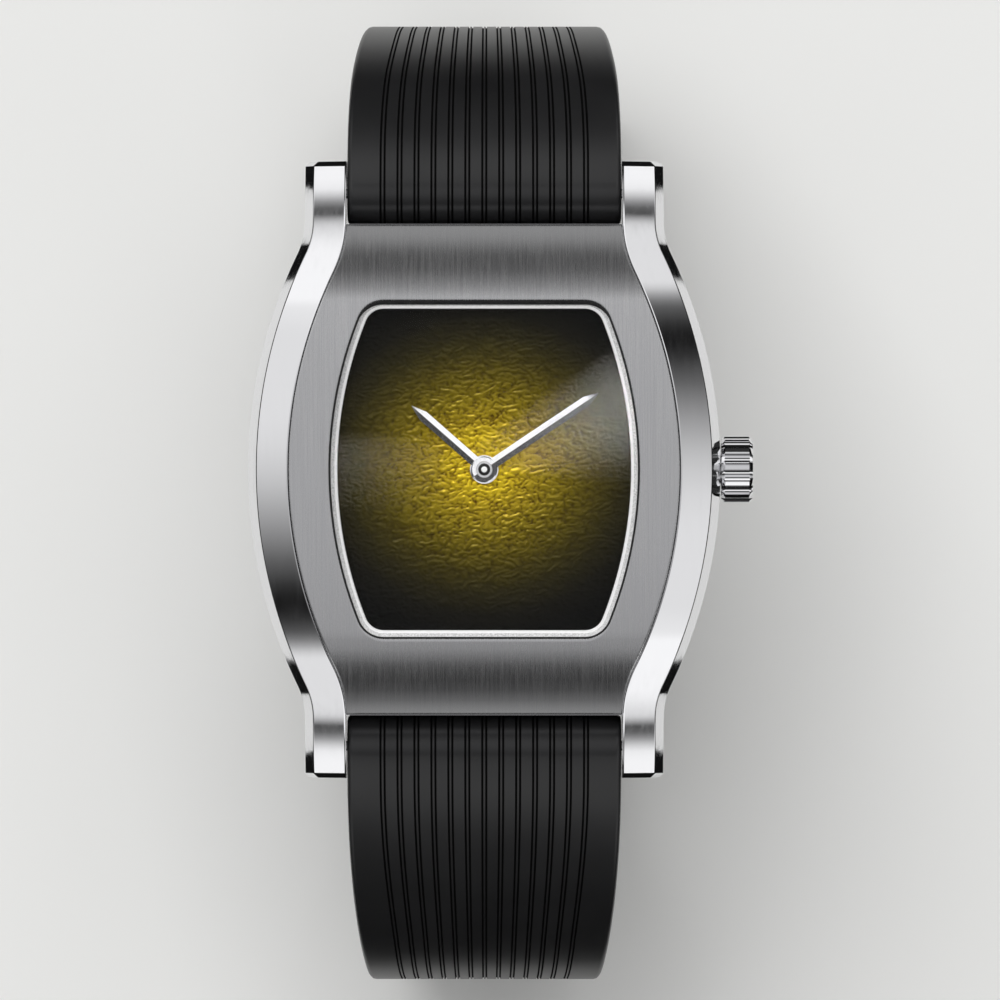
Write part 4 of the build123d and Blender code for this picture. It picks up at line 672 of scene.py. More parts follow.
make_piece("bezel_brushed", bezel_skin, brushed_steel, "case", ["bezel"], grain=True)

# Crystal: mineral glass ground to the case's bow, with an anti-reflection coating, in a thin black gasket.
# The coating takes away most of the reflection, so the index is set far under glass's own 1.5. Shadow,
# diffuse and glossy rays pass straight through, so that the dial is lit as if the glass were open
crystal_glass, tree = new_material("coated_mineral_glass")
sight = node(tree, "ShaderNodeLightPath")
soft_ray = node(
    tree,
    "ShaderNodeMath",
    {"operation": "MAXIMUM"},
    {0: sight.outputs["Is Shadow Ray"], 1: sight.outputs["Is Diffuse Ray"]},
)
straight_ray = node(
    tree, "ShaderNodeMath", {"operation": "MAXIMUM"}, {0: soft_ray, 1: sight.outputs["Is Glossy Ray"]}
)
surface = node(
    tree,
    "ShaderNodeBsdfPrincipled",
    inputs={"Base Color": (1, 1, 1, 1), "Transmission Weight": 1.0, "Roughness": 0.0, "IOR": 1.1},
)
open_way = node(tree, "ShaderNodeBsdfTransparent")
both = node(tree, "ShaderNodeMixShader", inputs={0: straight_ray, 1: surface, 2: open_way})
node(tree, "ShaderNodeOutputMaterial", inputs={"Surface": both})

# Two windows far above the watch, which only the crystal sees: a soft slanting glare at the right, whose
# upper edge is the clearer one, and a weaker one at the left
window_z = 0.309
for name, centre, size, turn_deg, watts, slanting, upright in (
    (
        "window_right",
        (0.0162, 0.0289),
        (0.022, 0.090),
        -20,
        0.60,
        [(0.0, 0.0), (0.16, 0.35), (0.30, 0.75), (0.50, 1.0), (0.70, 0.8), (0.85, 0.5), (1.0, 0.2)],
        [(0.13, 0.0), (0.22, 0.25), (0.30, 0.55), (0.38, 0.8), (0.55, 1.0)],
    ),
    (
        "window_left",
        (-0.014, -0.0005),
        (0.020, 0.035),
        0,
        0.055,
        [(0.0, 1.0), (0.6, 0.8), (1.0, 0.0)],
        [(0.0, 0.0), (0.45, 0.55), (0.70, 1.0), (0.83, 0.7), (1.0, 0.0)],
    ),
):
    window = area_lamp(name, (*centre, window_z), size, watts, only_on=nodes["crystal"])
    window.rotation_euler = (0, 0, math.radians(turn_deg))
    window.data.use_nodes = True
    tree = window.data.node_tree
    tree.nodes.clear()
    on_pane = node(
        tree,
        "ShaderNodeMapping",
        {"vector_type": "TEXTURE"},
        {
            "Vector": node(tree, "ShaderNodeNewGeometry").outputs["Position"],
            "Location": (*centre, 0),
            "Rotation": (0, 0, math.radians(turn_deg)),
            "Scale": (*size, 1),
        },
    )
    from_corner = node(
        tree, "ShaderNodeVectorMath", {"operation": "ADD"}, {0: on_pane, 1: (0.5, 0.5, 0)}
    )
    pane = node(tree, "ShaderNodeSeparateXYZ", inputs={0: from_corner})
    soft_across = node(tree, "ShaderNodeValToRGB", inputs={0: pane.outputs["X"]}, stops=slanting)
    soft_along = node(tree, "ShaderNodeValToRGB", inputs={0: pane.outputs["Y"]}, stops=upright)
    soft = node(tree, "ShaderNodeMath", {"operation": "MULTIPLY"}, {0: soft_across, 1: soft_along})
    glow = node(tree, "ShaderNodeEmission", inputs={"Color": linear("#FFFAF0"), "Strength": soft})
    node(tree, "ShaderNodeOutputLight", inputs={"Surface": glow})


def mottled(
    name, scale, dark, light, roughness, uneven=0.0, metallic=0.0, detail=3.0, spread=0.2, specular=0.5
):
    """Finish a little uneven in tone, and in gloss where uneven is given; scale is per metre."""
    material, tree = new_material(name)
    place = node(tree, "ShaderNodeTexCoord").outputs["Object"]
    mottle = node(tree, "ShaderNodeTexNoise", inputs={"Vector": place, "Scale": scale, "Detail": detail})
    stops = [(0.5 - spread, linear(dark)), (0.5 + spread, linear(light))]
    tone = node(tree, "ShaderNodeValToRGB", inputs={0: mottle}, stops=stops)
    gloss = roughness
    if uneven:
        low, high = roughness * (1 - uneven), roughness * (1 + uneven)
        gloss = node(tree, "ShaderNodeMapRange", inputs={0: mottle, 1: 0.3, 2: 0.7, 3: low, 4: high})
    surface = node(
        tree,
        "ShaderNodeBsdfPrincipled",
        inputs={
            "Base Color": tone,
            "Metallic": metallic,
            "Roughness": gloss,
            "Specular IOR Level": specular,
        },
    )
    node(tree, "ShaderNodeOutputMaterial", inputs={"Surface": surface})
    return material


# Seals: black nitrile rubber, moulded, so matt black with fine pits. Real pits are finer; they are drawn at
# 0.1 mm. The crystal's gasket shows as a thin dark line; it is drawn widest at 12 o'clock, and that extra
# width is a painted shadow of the bezel's edge
seal_rubber = mottled("moulded_nitrile_rubber", 9000.0, "#0A0A0B", "#161617", 0.55)
foot_bottom, foot_top = 8.25, 8.29
# The shift sets the gasket's inner edge towards 6 o'clock: the black band at 12 o'clock is a painted shadow
shadow_shift, foot_half_length = 0.15, 13.36
foot_rings = [barrel_ring(0.05, foot_bottom), barrel_ring(0.05, foot_top)]
for z in (foot_top, foot_bottom):
    inner = barrel_ring(0.06, z, half_length=foot_half_length)
    foot_rings.append([(x, y - shadow_shift, height) for x, y, height in inner])
gasket_with_shadow = skin(foot_rings, capped=False, looped=True)
make_piece("crystal_gasket_with_painted_shadow", gasket_with_shadow, seal_rubber, "case", [])

# Flange: brass ring, bead-blasted and silver plated: an even, slightly speckled white. Its inner edge is
# cut bright; the inner half of the ring, down to that edge, is painted whiter and glossier than the rest, as
# a painted highlight
flange_silver = mottled(
    "blasted_silver_plate", 9000.0, "#C2C2C2", "#EEEEEE", 0.45, detail=2.0, spread=0.15
)
# Near white and glossier than the blasted plate: a painted highlight
painted_highlight_silver = mottled("silver_plate_painted_highlight", 2500.0, "#F6F6F6", "#FFFFFF", 0.3, detail=2.0)
flange_top, flange_foot = 8.24, 6.55
flange_profile = [
    (0.05, flange_foot),
    (0.05, flange_top),
    (0.14, flange_top),
    (0.17, flange_top - 0.01),
    (0.43, flange_top - 0.20),
    (0.61, flange_top - 0.24),
    (0.65, flange_top - 0.28),
    (0.67, flange_foot),
]
barrel_points = len(barrel_ring(0, 0))
make_piece(
    "flange_ring",
    skin([barrel_ring(inset, z) for inset, z in flange_profile], capped=False, looped=True),
    flange_silver,
    "case",
    ["flange"],
    # The ring's inner faces get the painted highlight
    second=(painted_highlight_silver, lambda face: 4 <= face // barrel_points <= 6),
)

# Dial: brass plate pressed with a wrinkled relief, gilt, then sprayed with black lacquer that thickens
# from nothing at the middle to opaque at the rim
dial_top = 6.55
dial_rows, dial_columns = 340, 312
dial_inset = 0.12
dial_half_length = barrel_half_length - dial_inset
lacquer_middle, lacquer_rim = 4.0, 13.0
# The seed sets where the wrinkles drift, so that every run presses the same relief
relief_seed = 1
noise.seed_set(relief_seed)


def relief(x, y):
    """Height of the pressed relief, in mm: wrinkles 0.25 to 0.5 mm long, with sharp creases between.

    Each noise is stretched to its own length across and along. Lacquer fills the relief towards the rim, so
    it is shallower there.
    """
    filled = (math.hypot(x, y) - lacquer_middle) / (lacquer_rim - lacquer_middle)
    filled = min(max(filled, 0.0), 1.0)
    drift = noise.noise_vector(Vector((x / 1.1, y / 0.8, 3.1)))
    folds = abs(noise.noise(Vector((x / 0.72 + 0.7 * drift.x, y / 0.40 + 0.7 * drift.y, 0.0))))
    pleats = abs(noise.noise(Vector((x / 0.40 + 0.5 * drift.x, y / 0.24, 7.7))))
    grains = noise.noise(Vector((x / 0.19, y / 0.15, 2.2)))
    return (0.17 * folds + 0.13 * pleats + 0.035 * grains - 0.055) * (1.0 - 0.75 * filled)


def dial_half_width(y):
    """Half width of the dial."""
    bow, centre_x, length, turn, corner_x, lean = barrel_arcs(dial_inset)
    if abs(y) <= bow * math.sin(lean):
        return centre_x + math.sqrt(bow**2 - y**2)
    return corner_x + math.sqrt(max(turn**2 - (abs(y) - length + turn) ** 2, 0))


dial_corners = []
for row in range(dial_rows + 1):
    y = dial_half_length * (2 * row / dial_rows - 1)
    half = dial_half_width(y)
    for column in range(dial_columns + 1):
        x = half * (2 * column / dial_columns - 1)
        rim = row in (0, dial_rows) or column in (0, dial_columns)
        dial_corners.append((x, y, dial_top + (0 if rim else relief(x, y))))
stride = dial_columns + 1
dial_faces = []
for row in range(dial_rows):
    for first in range(row * stride, row * stride + dial_columns):
        dial_faces.append((first, first + 1, first + stride + 1, first + stride))
rim_loop = (
    list(range(stride))
    + [row * stride + dial_columns for row in range(1, dial_rows + 1)]
    + [dial_rows * stride + column for column in range(dial_columns - 1, -1, -1)]
    + [row * stride for row in range(dial_rows - 1, 0, -1)]
)
first_low = len(dial_corners)
dial_corners += [(*dial_corners[index][:2], container_top) for index in rim_loop]
for step, index in enumerate(rim_loop):
    after = (step + 1) % len(rim_loop)
    dial_faces.append((index, rim_loop[after], first_low + after, first_low + step))
dial_faces.append(tuple(range(first_low, first_low + len(rim_loop))))

# Gilt brass under the lacquer: gold at the middle, then olive, then black, in an oval a little off centre
fade_reach = 0.0145
dial_gilt, tree = new_material("gilt_brass_under_black_lacquer")
place = node(tree, "ShaderNodeTexCoord").outputs["Object"]
apart = node(
    tree,
    "ShaderNodeMapping",
    inputs={"Vector": place, "Location": (0, -0.0004, 0), "Scale": (0.93, 1.04, 0)},
)
reach = node(tree, "ShaderNodeVectorMath", {"operation": "LENGTH"}, {0: apart}).outputs["Value"]
cloud = node(tree, "ShaderNodeTexNoise", inputs={"Vector": place, "Scale": 700.0, "Detail": 3.0})
away = node(tree, "ShaderNodeMath", {"operation": "DIVIDE"}, {0: reach, 1: fade_reach})
spray = node(tree, "ShaderNodeMath", {"operation": "MULTIPLY_ADD"}, {0: cloud, 1: 0.04, 2: away})
lacquer_tones = [
    (0.02, "#BFA520"),
    (0.17, "#A68F19"),
    (0.28, "#806D13"),
    (0.40, "#685A0F"),
    (0.52, "#4D430C"),
    (0.64, "#342E0C"),
    (0.76, "#211E0D"),
    (0.88, "#12110C"),
    (1.00, "#0A0A09"),
]
lacquer = node(
    tree,
    "ShaderNodeValToRGB",
    inputs={0: spray},
    stops=[(at, linear(code)) for at, code in lacquer_tones],
)
# Painted shade in the relief: the hollows are made browner and darker than the tops
hollow, crest = -0.06, 0.01
level = node(tree, "ShaderNodeSeparateXYZ", inputs={0: place}).outputs["Z"]
unshaded_share = node(
    tree,
    "ShaderNodeMapRange",
    inputs={0: level, 1: (dial_top + hollow) * MM, 2: (dial_top + crest) * MM, 3: 0.0, 4: 1.0},
)
# Colour of the painted shade in the hollows, multiplied into the lacquer
shaded_hollows = node(
    tree,
    "ShaderNodeMix",
    {"data_type": "RGBA", "blend_type": "MULTIPLY"},
    {"Factor": 1.0, 6: lacquer, 7: linear("#664624")},
)
dial_tone = node(
    tree, "ShaderNodeMix", {"data_type": "RGBA"}, {"Factor": unshaded_share, 6: shaded_hollows.outputs[2], 7: lacquer}
)
wrinkle = node(tree, "ShaderNodeTexNoise", inputs={"Vector": place, "Scale": 5200.0, "Detail": 2.0})
wrinkle_bump = node(
    tree, "ShaderNodeBump", inputs={"Height": wrinkle, "Strength": 0.25, "Distance": 0.00004}
)
surface = node(
    tree,
    "ShaderNodeBsdfPrincipled",
    inputs={
        "Base Color": dial_tone.outputs[2],
        "Metallic": 0.3,
        "Roughness": 0.42,
        "Specular IOR Level": 0.1,
        "Normal": wrinkle_bump,
    },
)
node(tree, "ShaderNodeOutputMaterial", inputs={"Surface": surface})
dial_relief = make_piece(
    "dial_relief", (dial_corners, dial_faces), dial_gilt, "case", ["dial"], sharp_deg=75
)

# A raking lamp from 12 o'clock, for the dial alone, brings out its relief
area_lamp("raking_lamp", (-0.06, 0.26, 0.15), (0.06, 0.06), 1.25, only_on=dial_relief)

# Hands: brass, diamond-cut to a ridge and rhodium plated, so that one flank is bright and the other dark
hour_angle_deg, minute_angle_deg = 311.2, 56.3
hour_bottom, minute_bottom, hub_bottom = 7.0, 7.45, 7.60
hand_half, hand_point, hand_thickness = 0.42, 1.2, 0.18


def on_hand(angle_deg, along, across, z):
    """Corner of a hand that points at an angle from 12 o'clock."""
    ahead_x, ahead_y = math.sin(math.radians(angle_deg)), math.cos(math.radians(angle_deg))
    return (ahead_x * along + ahead_y * across, ahead_y * along - ahead_x * across, z)


def blade(length, bottom, angle_deg, start):
    """Corners and faces of a hand's blade: two flanks that fall from a ridge, and a pointed tip."""
    edge = hand_thickness / 3
    rings = []
    for along, half, top in (
        (start, hand_half, hand_thickness),
        (length - hand_point, hand_half, hand_thickness),
        (length, 0.015, edge + 0.01),
    ):
        section = [(-half, 0), (-half, edge), (0, top), (half, edge), (half, 0)]
        rings.append([on_hand(angle_deg, along, across, bottom + rise) for across, rise in section])
    return skin(rings)


def turned(profile, bottom, count=64):
    """Corners and faces of a closed turned shape; its profile is distance from the axis and rise."""
    rings = []
    for step in range(count):
        angle = 2 * math.pi * step / count
        rings.append(
            [(radius * math.cos(angle), radius * math.sin(angle), bottom + rise) for radius, rise in profile]
        )
    return skin(rings, capped=False, looped=True)


def ridged_disc(radius, ridge, angle_deg, count=72):
    """Corners and faces of a hand's round eye, cut to two flanks like its blade, with a bevelled rim."""
    slope, thickness, bevel = 0.25, 0.07, 0.07
    rings = []
    for reach, fall in ((radius, thickness), (radius, bevel * 0.6), (radius - bevel, 0)):
        ring = []
        for step in range(count):
            along = reach * math.cos(2 * math.pi * step / count)
            across = reach * math.sin(2 * math.pi * step / count)
            ring.append(on_hand(angle_deg, along, across, ridge - abs(across) * slope - fall))
        rings.append(ring)
    corners, faces = skin(rings, capped=False)
    last = 2 * count
    half = count // 2
    faces.append(tuple(last + step for step in range(half + 1)))
    faces.append(tuple(last + step % count for step in range(half, count + 1)))
    faces.append(tuple(range(half, -1, -1)))
    faces.append(tuple(step % count for step in range(count, half - 1, -1)))
    return corners, faces


# Rhodium over diamond-cut brass: bright, with cutter lines that spread the light a little
hand_plate, tree = new_material("rhodium_plated_diamond_cut")
place = node(tree, "ShaderNodeTexCoord").outputs["Object"]
cut_lines = node(tree, "ShaderNodeTexNoise", inputs={"Vector": place, "Scale": 6000.0, "Detail": 2.0})
cut_gloss = node(tree, "ShaderNodeMapRange", inputs={0: cut_lines, 1: 0.3, 2: 0.7, 3: 0.12, 4: 0.20})
surface = node(
    tree,
    "ShaderNodeBsdfPrincipled",
    inputs={"Base Color": linear("#F2F2F4"), "Metallic": 1.0, "Roughness": cut_gloss},
)
node(tree, "ShaderNodeOutputMaterial", inputs={"Surface": surface})

# Painted shade at the bottom of the hub's recess: a matt near-black floor, so the arbor's bright end stands
# out
recess_shade = mottled("painted_shade_in_recess", 9000.0, "#0B0B0C", "#1A1A1B", 0.4, detail=2.0)

hour_collar = [(0.755, 0.0), (1.14, 0.0), (1.14, 0.04), (0.80, 0.18), (0.755, 0.18)]
hub_collar = [
    (0.0, 0.0), (0.66, 0.0), (0.66, 0.13), (0.62, 0.17),
    (0.51, 0.17), (0.49, 0.15), (0.49, 0.10), (0.0, 0.10),
]
recess = [(0.0, 0.09), (0.485, 0.09), (0.485, 0.115), (0.0, 0.115)]
arbor = [
    (0.0, 0.10), (0.24, 0.10), (0.24, 0.16), (0.21, 0.19), (0.15, 0.215), (0.08, 0.225), (0.0, 0.23),
]
hour_shape = joined(blade(7.7, hour_bottom, hour_angle_deg, 0.6), turned(hour_collar, hour_bottom))
make_piece("hour_hand_cut", hour_shape, hand_plate, "hour_hand", ["hour_hand"], sharp_deg=12)
minute_shape = joined(
    blade(11.0, minute_bottom, minute_angle_deg, 0.2),
    ridged_disc(1.04, minute_bottom + hand_thickness, minute_angle_deg),
    turned(hub_collar, hub_bottom),
)
make_piece(
    "minute_hand_cut", minute_shape, hand_plate, "minute_hand", ["minute_hand"], sharp_deg=12
)
# Painted shade: the recess's floor is near black
make_piece("arbor_recess", turned(recess, hub_bottom), recess_shade, "minute_hand", [])
# The arbor's domed end wears the near-white silver: a painted highlight
make_piece(
    "arbor_end", turned(arbor, hub_bottom), painted_highlight_silver, "minute_hand", [], sharp_deg=60
)

# Crown: stainless steel, turned, fluted with twelve hollows and polished, with a bevel at both ends
crown_start, crown_end, crown_z = 18.96, 21.52, 4.6
crown_radius, crown_bevel = 2.64, 0.3
flute_radius, flute_away, flute_soft = 0.55, 2.97, 0.05
flute_count, flute_start_deg, lobe_points = 12, 10, 22


def crown_reach(angle):
    """Distance from the crown's axis to its fluted outline, with the lobes' edges eased."""
    lobe = math.radians(360 / flute_count)
    off = (angle - math.radians(flute_start_deg)) % lobe
    off = min(off, lobe - off)
    inside = flute_radius**2 - (flute_away * math.sin(off)) ** 2
    if inside <= 0:
        hollow = crown_radius + 0.4
    else:
        hollow = flute_away * math.cos(off) - math.sqrt(inside)
    share = max(flute_soft - abs(hollow - crown_radius), 0) / flute_soft
    return min(hollow, crown_radius) - share * share * flute_soft / 4


crown_rings = []
for x, cut in (
    (crown_start, 0.34),
    (crown_start + 0.02, 0.29),
    (crown_start + crown_bevel - 0.03, 0.04),
    (crown_start + crown_bevel + 0.02, -0.02),
    (crown_end - crown_bevel - 0.02, -0.02),
    (crown_end - crown_bevel + 0.03, 0.04),
    (crown_end - 0.03, 0.28),
    (crown_end, 0.36),
):
    ring = []
    for step in range(flute_count * lobe_points):
        angle = 2 * math.pi * step / (flute_count * lobe_points)
        reach = min(crown_reach(angle), crown_radius - cut)
        ring.append((x, reach * math.cos(angle), crown_z + reach * math.sin(angle)))
    crown_rings.append(ring)
make_piece(
    "crown_fluted", skin(crown_rings), polished_steel, "crown", ["crown"], sharp_deg=28
)

# Strap: black fluororubber, moulded in two halves with thirteen channels in the outer face. Each half's path
# runs from its spring bar in stretches, each given by its length and its turn in degrees
bar_y, bar_z = 22.2, 2.6
start_slope = math.radians(20)
strap_half, end_half = 11.0, 9.2
strap_outer, strap_inner, strap_thin, crest_rise = 2.5, 2.0, 1.4, 0.3
inner_edge, edge_points = 0.2, 4
groove_count, groove_depth, groove_end, groove_pitch = 13, 0.13, 50.0, 1.36
channel_points, closing = 8, 0.05


def arc(radius, turn_deg):
    """Length and turn of a stretch that bends at an even radius."""
    return radius * math.radians(turn_deg), turn_deg


short_bend, buckle_run = 16.605, 8.2
short_path = [arc(15.0, 40), arc(37.0, 30), arc(short_bend, 90), (buckle_run, 0)]
long_side, strap_depth = 27.8, 47.0
long_bend = strap_depth - strap_thin - long_side * math.cos(start_slope)
tail_length, tail_radius = 18.0, 30.0
long_tail = (tail_length, math.degrees(tail_length / tail_radius))
long_path = [arc(long_side, 70), arc(long_bend, 90), arc(17.0, 60), long_tail]
short_length = sum(length for length, turn_deg in short_path)
long_length = sum(length for length, turn_deg in long_path)


def strap_place(path, distance):
    """Place along the strap's middle line, out from the bar and up, and its slope."""
    out, up, slope = 0, 0, start_slope
    for length, turn_deg in path:
        run = min(distance, length)
        turn = math.radians(turn_deg) * run / length
        if turn > 0:
            radius = run / turn
            out += radius * (math.sin(slope + turn) - math.sin(slope))
            up += radius * (math.cos(slope + turn) - math.cos(slope))
        else:
            out += run * math.cos(slope)
            up -= run * math.sin(slope)
        slope += turn
        distance -= run
        if distance <= 0:
            break
    return out, up, slope


def strap_point(path, side, distance, across, lift, past=0):
    """Point of a strap half: across it, over its middle line, and straight on past a distance along it."""
    out, up, slope = strap_place(path, distance)
    return (
        across,
        side * (bar_y + out + math.cos(slope) * past + math.sin(slope) * lift),
        bar_z + up - math.sin(slope) * past + math.cos(slope) * lift,
    )


def eased(distance, start, end):
    """Smooth step from 0 to 1."""
    share = min(max((distance - start) / (end - start), 0), 1)
    return share * share * (3 - 2 * share)


def strap_size(distance):
    """Half width, and thickness outside and inside the middle line."""
    half = strap_half - (strap_half - end_half) * eased(distance, 2, 40)
    thin = eased(distance, 0, 32)
    crest = eased(distance, 14, 29) * (1 - eased(distance, 30, 45))
    outer = strap_outer - (strap_outer - strap_thin) * thin + crest_rise * crest
    return half, outer, strap_inner - (strap_inner - strap_thin) * thin


def outer_row(half, depth, closer=1.0):
    """Outer face across the strap, from one edge to the other: place across, and how far it lies in.

    Each channel is two narrow cuts with a rib between them, which is level with the face.
    """
    scale = half / strap_half * closer
    edge = [(0, 0.45), (0.06, 0.20), (0.2, 0.06), (0.45, 0)]
    cuts = [(0.245, 0), (0.21, depth), (0.11, depth), (0.075, 0)]
    row = [(half - away, fall) for away, fall in edge]
    for groove in range(groove_count):
        middle = ((groove_count - 1) / 2 - groove) * groove_pitch
        row += [((middle + away) * scale, fall) for away, fall in cuts]
        row += [((middle - away) * scale, fall) for away, fall in reversed(cuts)]
    return row + [(away - half, fall) for away, fall in reversed(edge)]


def strap_section(half, outer, inner, depth, closer):
    """Section of the strap: place across, and lift over its middle line."""
    row = [(across, outer - fall) for across, fall in outer_row(half, depth, closer)]
    row += [(-half, inner_edge - inner), (inner_edge - half, -inner)]
    return row + [(half - inner_edge, -inner), (half, inner_edge - inner)]


def in_channel(face):
    """True for the faces inside the cuts, by their place round the ring."""
    step = face % (groove_count * channel_points + 3 * edge_points) - edge_points
    return 0 <= step < groove_count * channel_points and step % channel_points in (0, 1, 2, 4, 5, 6)


def strap_ring(path, side, distance):
    """Ring round the strap at a distance from the bar."""
    depth = groove_depth * (1 - eased(distance, groove_end - 1.0, groove_end))
    section = strap_section(*strap_size(distance), depth, 1 - closing * eased(distance, 2, 20))
    return [strap_point(path, side, distance, across, lift) for across, lift in section]


def head_ring(side, angle, reach):
    """Ring at the strap's end: the outer face swung back round the bar, the inner edge staying put."""
    half, outer, inner = strap_size(0)
    heel = (bar_y - inner * math.sin(start_slope), bar_z - inner * math.cos(start_slope))
    away = (math.sin(start_slope - angle), math.cos(start_slope - angle))
    row = []
    for across, fall in outer_row(half, groove_depth):
        lift = reach - fall
        row.append((across, bar_y + away[0] * lift, bar_z + away[1] * lift))
    row += [(-half, heel[0], heel[1] + inner_edge), (inner_edge - half, *heel)]
    row += [(half - inner_edge, *heel), (half, heel[0], heel[1] + inner_edge)]
    return [(across, side * y, z) for across, y, z in row]


def end_rings(path, side, length, rounding):
    """Rings past the end of a path, which round it off: how far past, and the section's two shares."""
    section = strap_section(*strap_size(length), 0, 1 - closing)
    return [
        [
            strap_point(path, side, length, across * narrow, lift * thick, past)
            for across, lift in section
        ]
        for past, narrow, thick in rounding
    ]


def strap_rings(path, side, end, rounding, step=0.6):
    """Rings of a strap half, from the heel against the case to its rounded end."""
    swing = math.pi / 2 + start_slope
    heel_drop, swing_steps = 1.88, 14
    rings = []
    for share in (1.0, 0.66, 0.33):
        drop = heel_drop * share
        angle = swing + math.atan(drop / strap_outer)
        rings.append(head_ring(side, angle, math.hypot(strap_outer, drop)))
    for turn_step in range(swing_steps, 0, -1):
        rings.append(head_ring(side, swing * turn_step / swing_steps, strap_outer))
    count = int(end / step)
    rings += [strap_ring(path, side, end * row / count) for row in range(count + 1)]
    return rings + end_rings(path, side, end, rounding)


# Fluororubber as the polished half of the mould leaves it: black with a soft satin sheen, and a bloom of
# dust in patches of a few millimetres. Its skin is finer than the 0.2 mm drawn here, so that it shows
rubber, tree = new_material("moulded_fluororubber")
place = node(tree, "ShaderNodeTexCoord").outputs["Object"]
skin_noise = node(tree, "ShaderNodeTexNoise", inputs={"Vector": place, "Scale": 5000.0, "Detail": 4.0})
dust = node(tree, "ShaderNodeTexNoise", inputs={"Vector": place, "Scale": 180.0, "Detail": 4.0})
rubber_tone = node(
    tree,
    "ShaderNodeValToRGB",
    inputs={0: dust},
    stops=[(0.3, linear("#1A1A1B")), (0.7, linear("#202021"))],
)
rubber_bump = node(
    tree, "ShaderNodeBump", inputs={"Height": skin_noise, "Strength": 0.15, "Distance": 0.00002}
)
surface = node(
    tree,
    "ShaderNodeBsdfPrincipled",
    inputs={"Base Color": rubber_tone, "Roughness": 0.36, "Normal": rubber_bump},
)
node(tree, "ShaderNodeOutputMaterial", inputs={"Surface": surface})

# Painted shade inside the cuts: the same rubber made near black and matt, with little reflection, so almost
# no light comes back
channel_shade_rubber = mottled(
    "fluororubber_painted_shade_in_channels", 7000.0, "#040404", "#0A0A0A", 0.85, detail=2.0, specular=0.1
)

# The short half wraps round the buckle's bar, and its end has a slot for the tongue
wrap = [
    (strap_thin * math.sin(math.radians(angle)), 1.0, max(math.cos(math.radians(angle)), 0.05))
    for angle in (15, 30, 45, 60, 75, 88)
]
cut_reach = 3.0
slot_half, slot_end, slot_round = 1.5, 2.3, 0.8
slot_outline = rounded(
    [(-slot_half, -cut_reach), (slot_half, -cut_reach), (slot_half, slot_end), (-slot_half, slot_end)],
    [0, 0, slot_round, slot_round],
    steps=5,
)
bar_out, bar_up = strap_place(short_path, short_length)[:2]
tongue_slot = skin(
    [
        [(x, bar_y + bar_out + along, bar_z + bar_up + height) for x, along in slot_outline]
        for height in (-cut_reach, cut_reach)
    ]
)
make_piece(
    "strap_short_half",
    skin(strap_rings(short_path, 1, short_length, wrap)),
    rubber,
    "strap_12",
    ["strap_12"],
    sharp_deg=50,
    second=(channel_shade_rubber, in_channel),
    holes=tongue_slot,
)

# The long half has a round tip, and seven round holes for the tongue
tip = [
    (end_half * math.sin(math.radians(angle)), max(math.cos(math.radians(angle)), 0.02), 1.0)
    for angle in (8, 16, 24, 32, 40, 48, 56, 64, 70, 76, 81, 85, 88)
]
hole_radius, first_hole, hole_pitch, hole_count, hole_points = 1.15, 56.0, 6.5, 7, 40
drills = []
for hole in range(hole_count):
    at = first_hole + hole * hole_pitch
    slope = strap_place(long_path, at)[2]
    ahead = Vector((0, -math.cos(slope), -math.sin(slope)))
    rings = []
    for lift in (-cut_reach, cut_reach):
        middle = Vector(strap_point(long_path, -1, at, 0, lift))
        ring = []
        for step in range(hole_points):
            angle = 2 * math.pi * step / hole_points
            aside = Vector((hole_radius * math.sin(angle), 0, 0))
            ring.append(tuple(middle + ahead * (hole_radius * math.cos(angle)) + aside))
        rings.append(ring)
    drills.append(skin(rings))
make_piece(
    "strap_long_half",
    skin(strap_rings(long_path, -1, long_length, tip)),
    rubber,
    "strap_6",
    ["strap_6"],
    sharp_deg=50,
    second=(channel_shade_rubber, in_channel),
    holes=joined(*drills),
)

# Keepers: two loops moulded from the same rubber, with round edges. One is held behind the buckle, and the
# other slides along the short half
keeper_length, keeper_wall, keeper_half = 5.0, 1.2, 9.45
keeper_low, keeper_high, keeper_corner = -1.45, 4.1, 1.2
keeper_edge, least_corner = 0.35, 0.15
fixed_back, sliding_back_deg = 8.1, 30


def keeper(start):
    """Loop round the strap, from a distance along the short half."""
    half_wall = keeper_wall / 2
    section = rounded(
        [(-half_wall, 0), (-half_wall, keeper_length), (half_wall, keeper_length), (half_wall, 0)],
        [keeper_edge] * 4,
        steps=4,
    )
    rings = []
    for away, along in section:
        wide = keeper_half + half_wall + away
        low = keeper_low - half_wall - away
        high = keeper_high + half_wall + away
        corner = max(keeper_corner - half_wall + away, least_corner)
        outline = rounded([(-wide, low), (wide, low), (wide, high), (-wide, high)], [corner] * 4, steps=6)
        rings.append([strap_point(short_path, 1, start + along, across, lift) for across, lift in outline])
    return skin(rings, capped=False, looped=True)


sliding_start = short_length - buckle_run - short_bend * math.radians(sliding_back_deg) - keeper_length / 2
for name, start, body, stands_for in (
    ("keeper_fixed", short_length - fixed_back, "strap_12", "fixed_keeper"),
    ("keeper_sliding", sliding_start, "sliding_keeper", "sliding_keeper"),
):
    make_piece(name, keeper(start), rubber, body, [stands_for], sharp_deg=50)


# Caseback: a plate pressed and polished like the case. It keeps its CAD shape, as all the pieces below do
def dress(material, *names):
    """Give pieces that keep their CAD shape their finish."""
    for name in names:
        for material_slot in nodes[name].material_slots:
            material_slot.material = material


dress(polished_steel, "caseback")

# Buckle: stainless steel, stamped, bent and polished like the case. The tongue turns on the same bar
dress(polished_steel, "buckle_frame", "buckle_tongue")

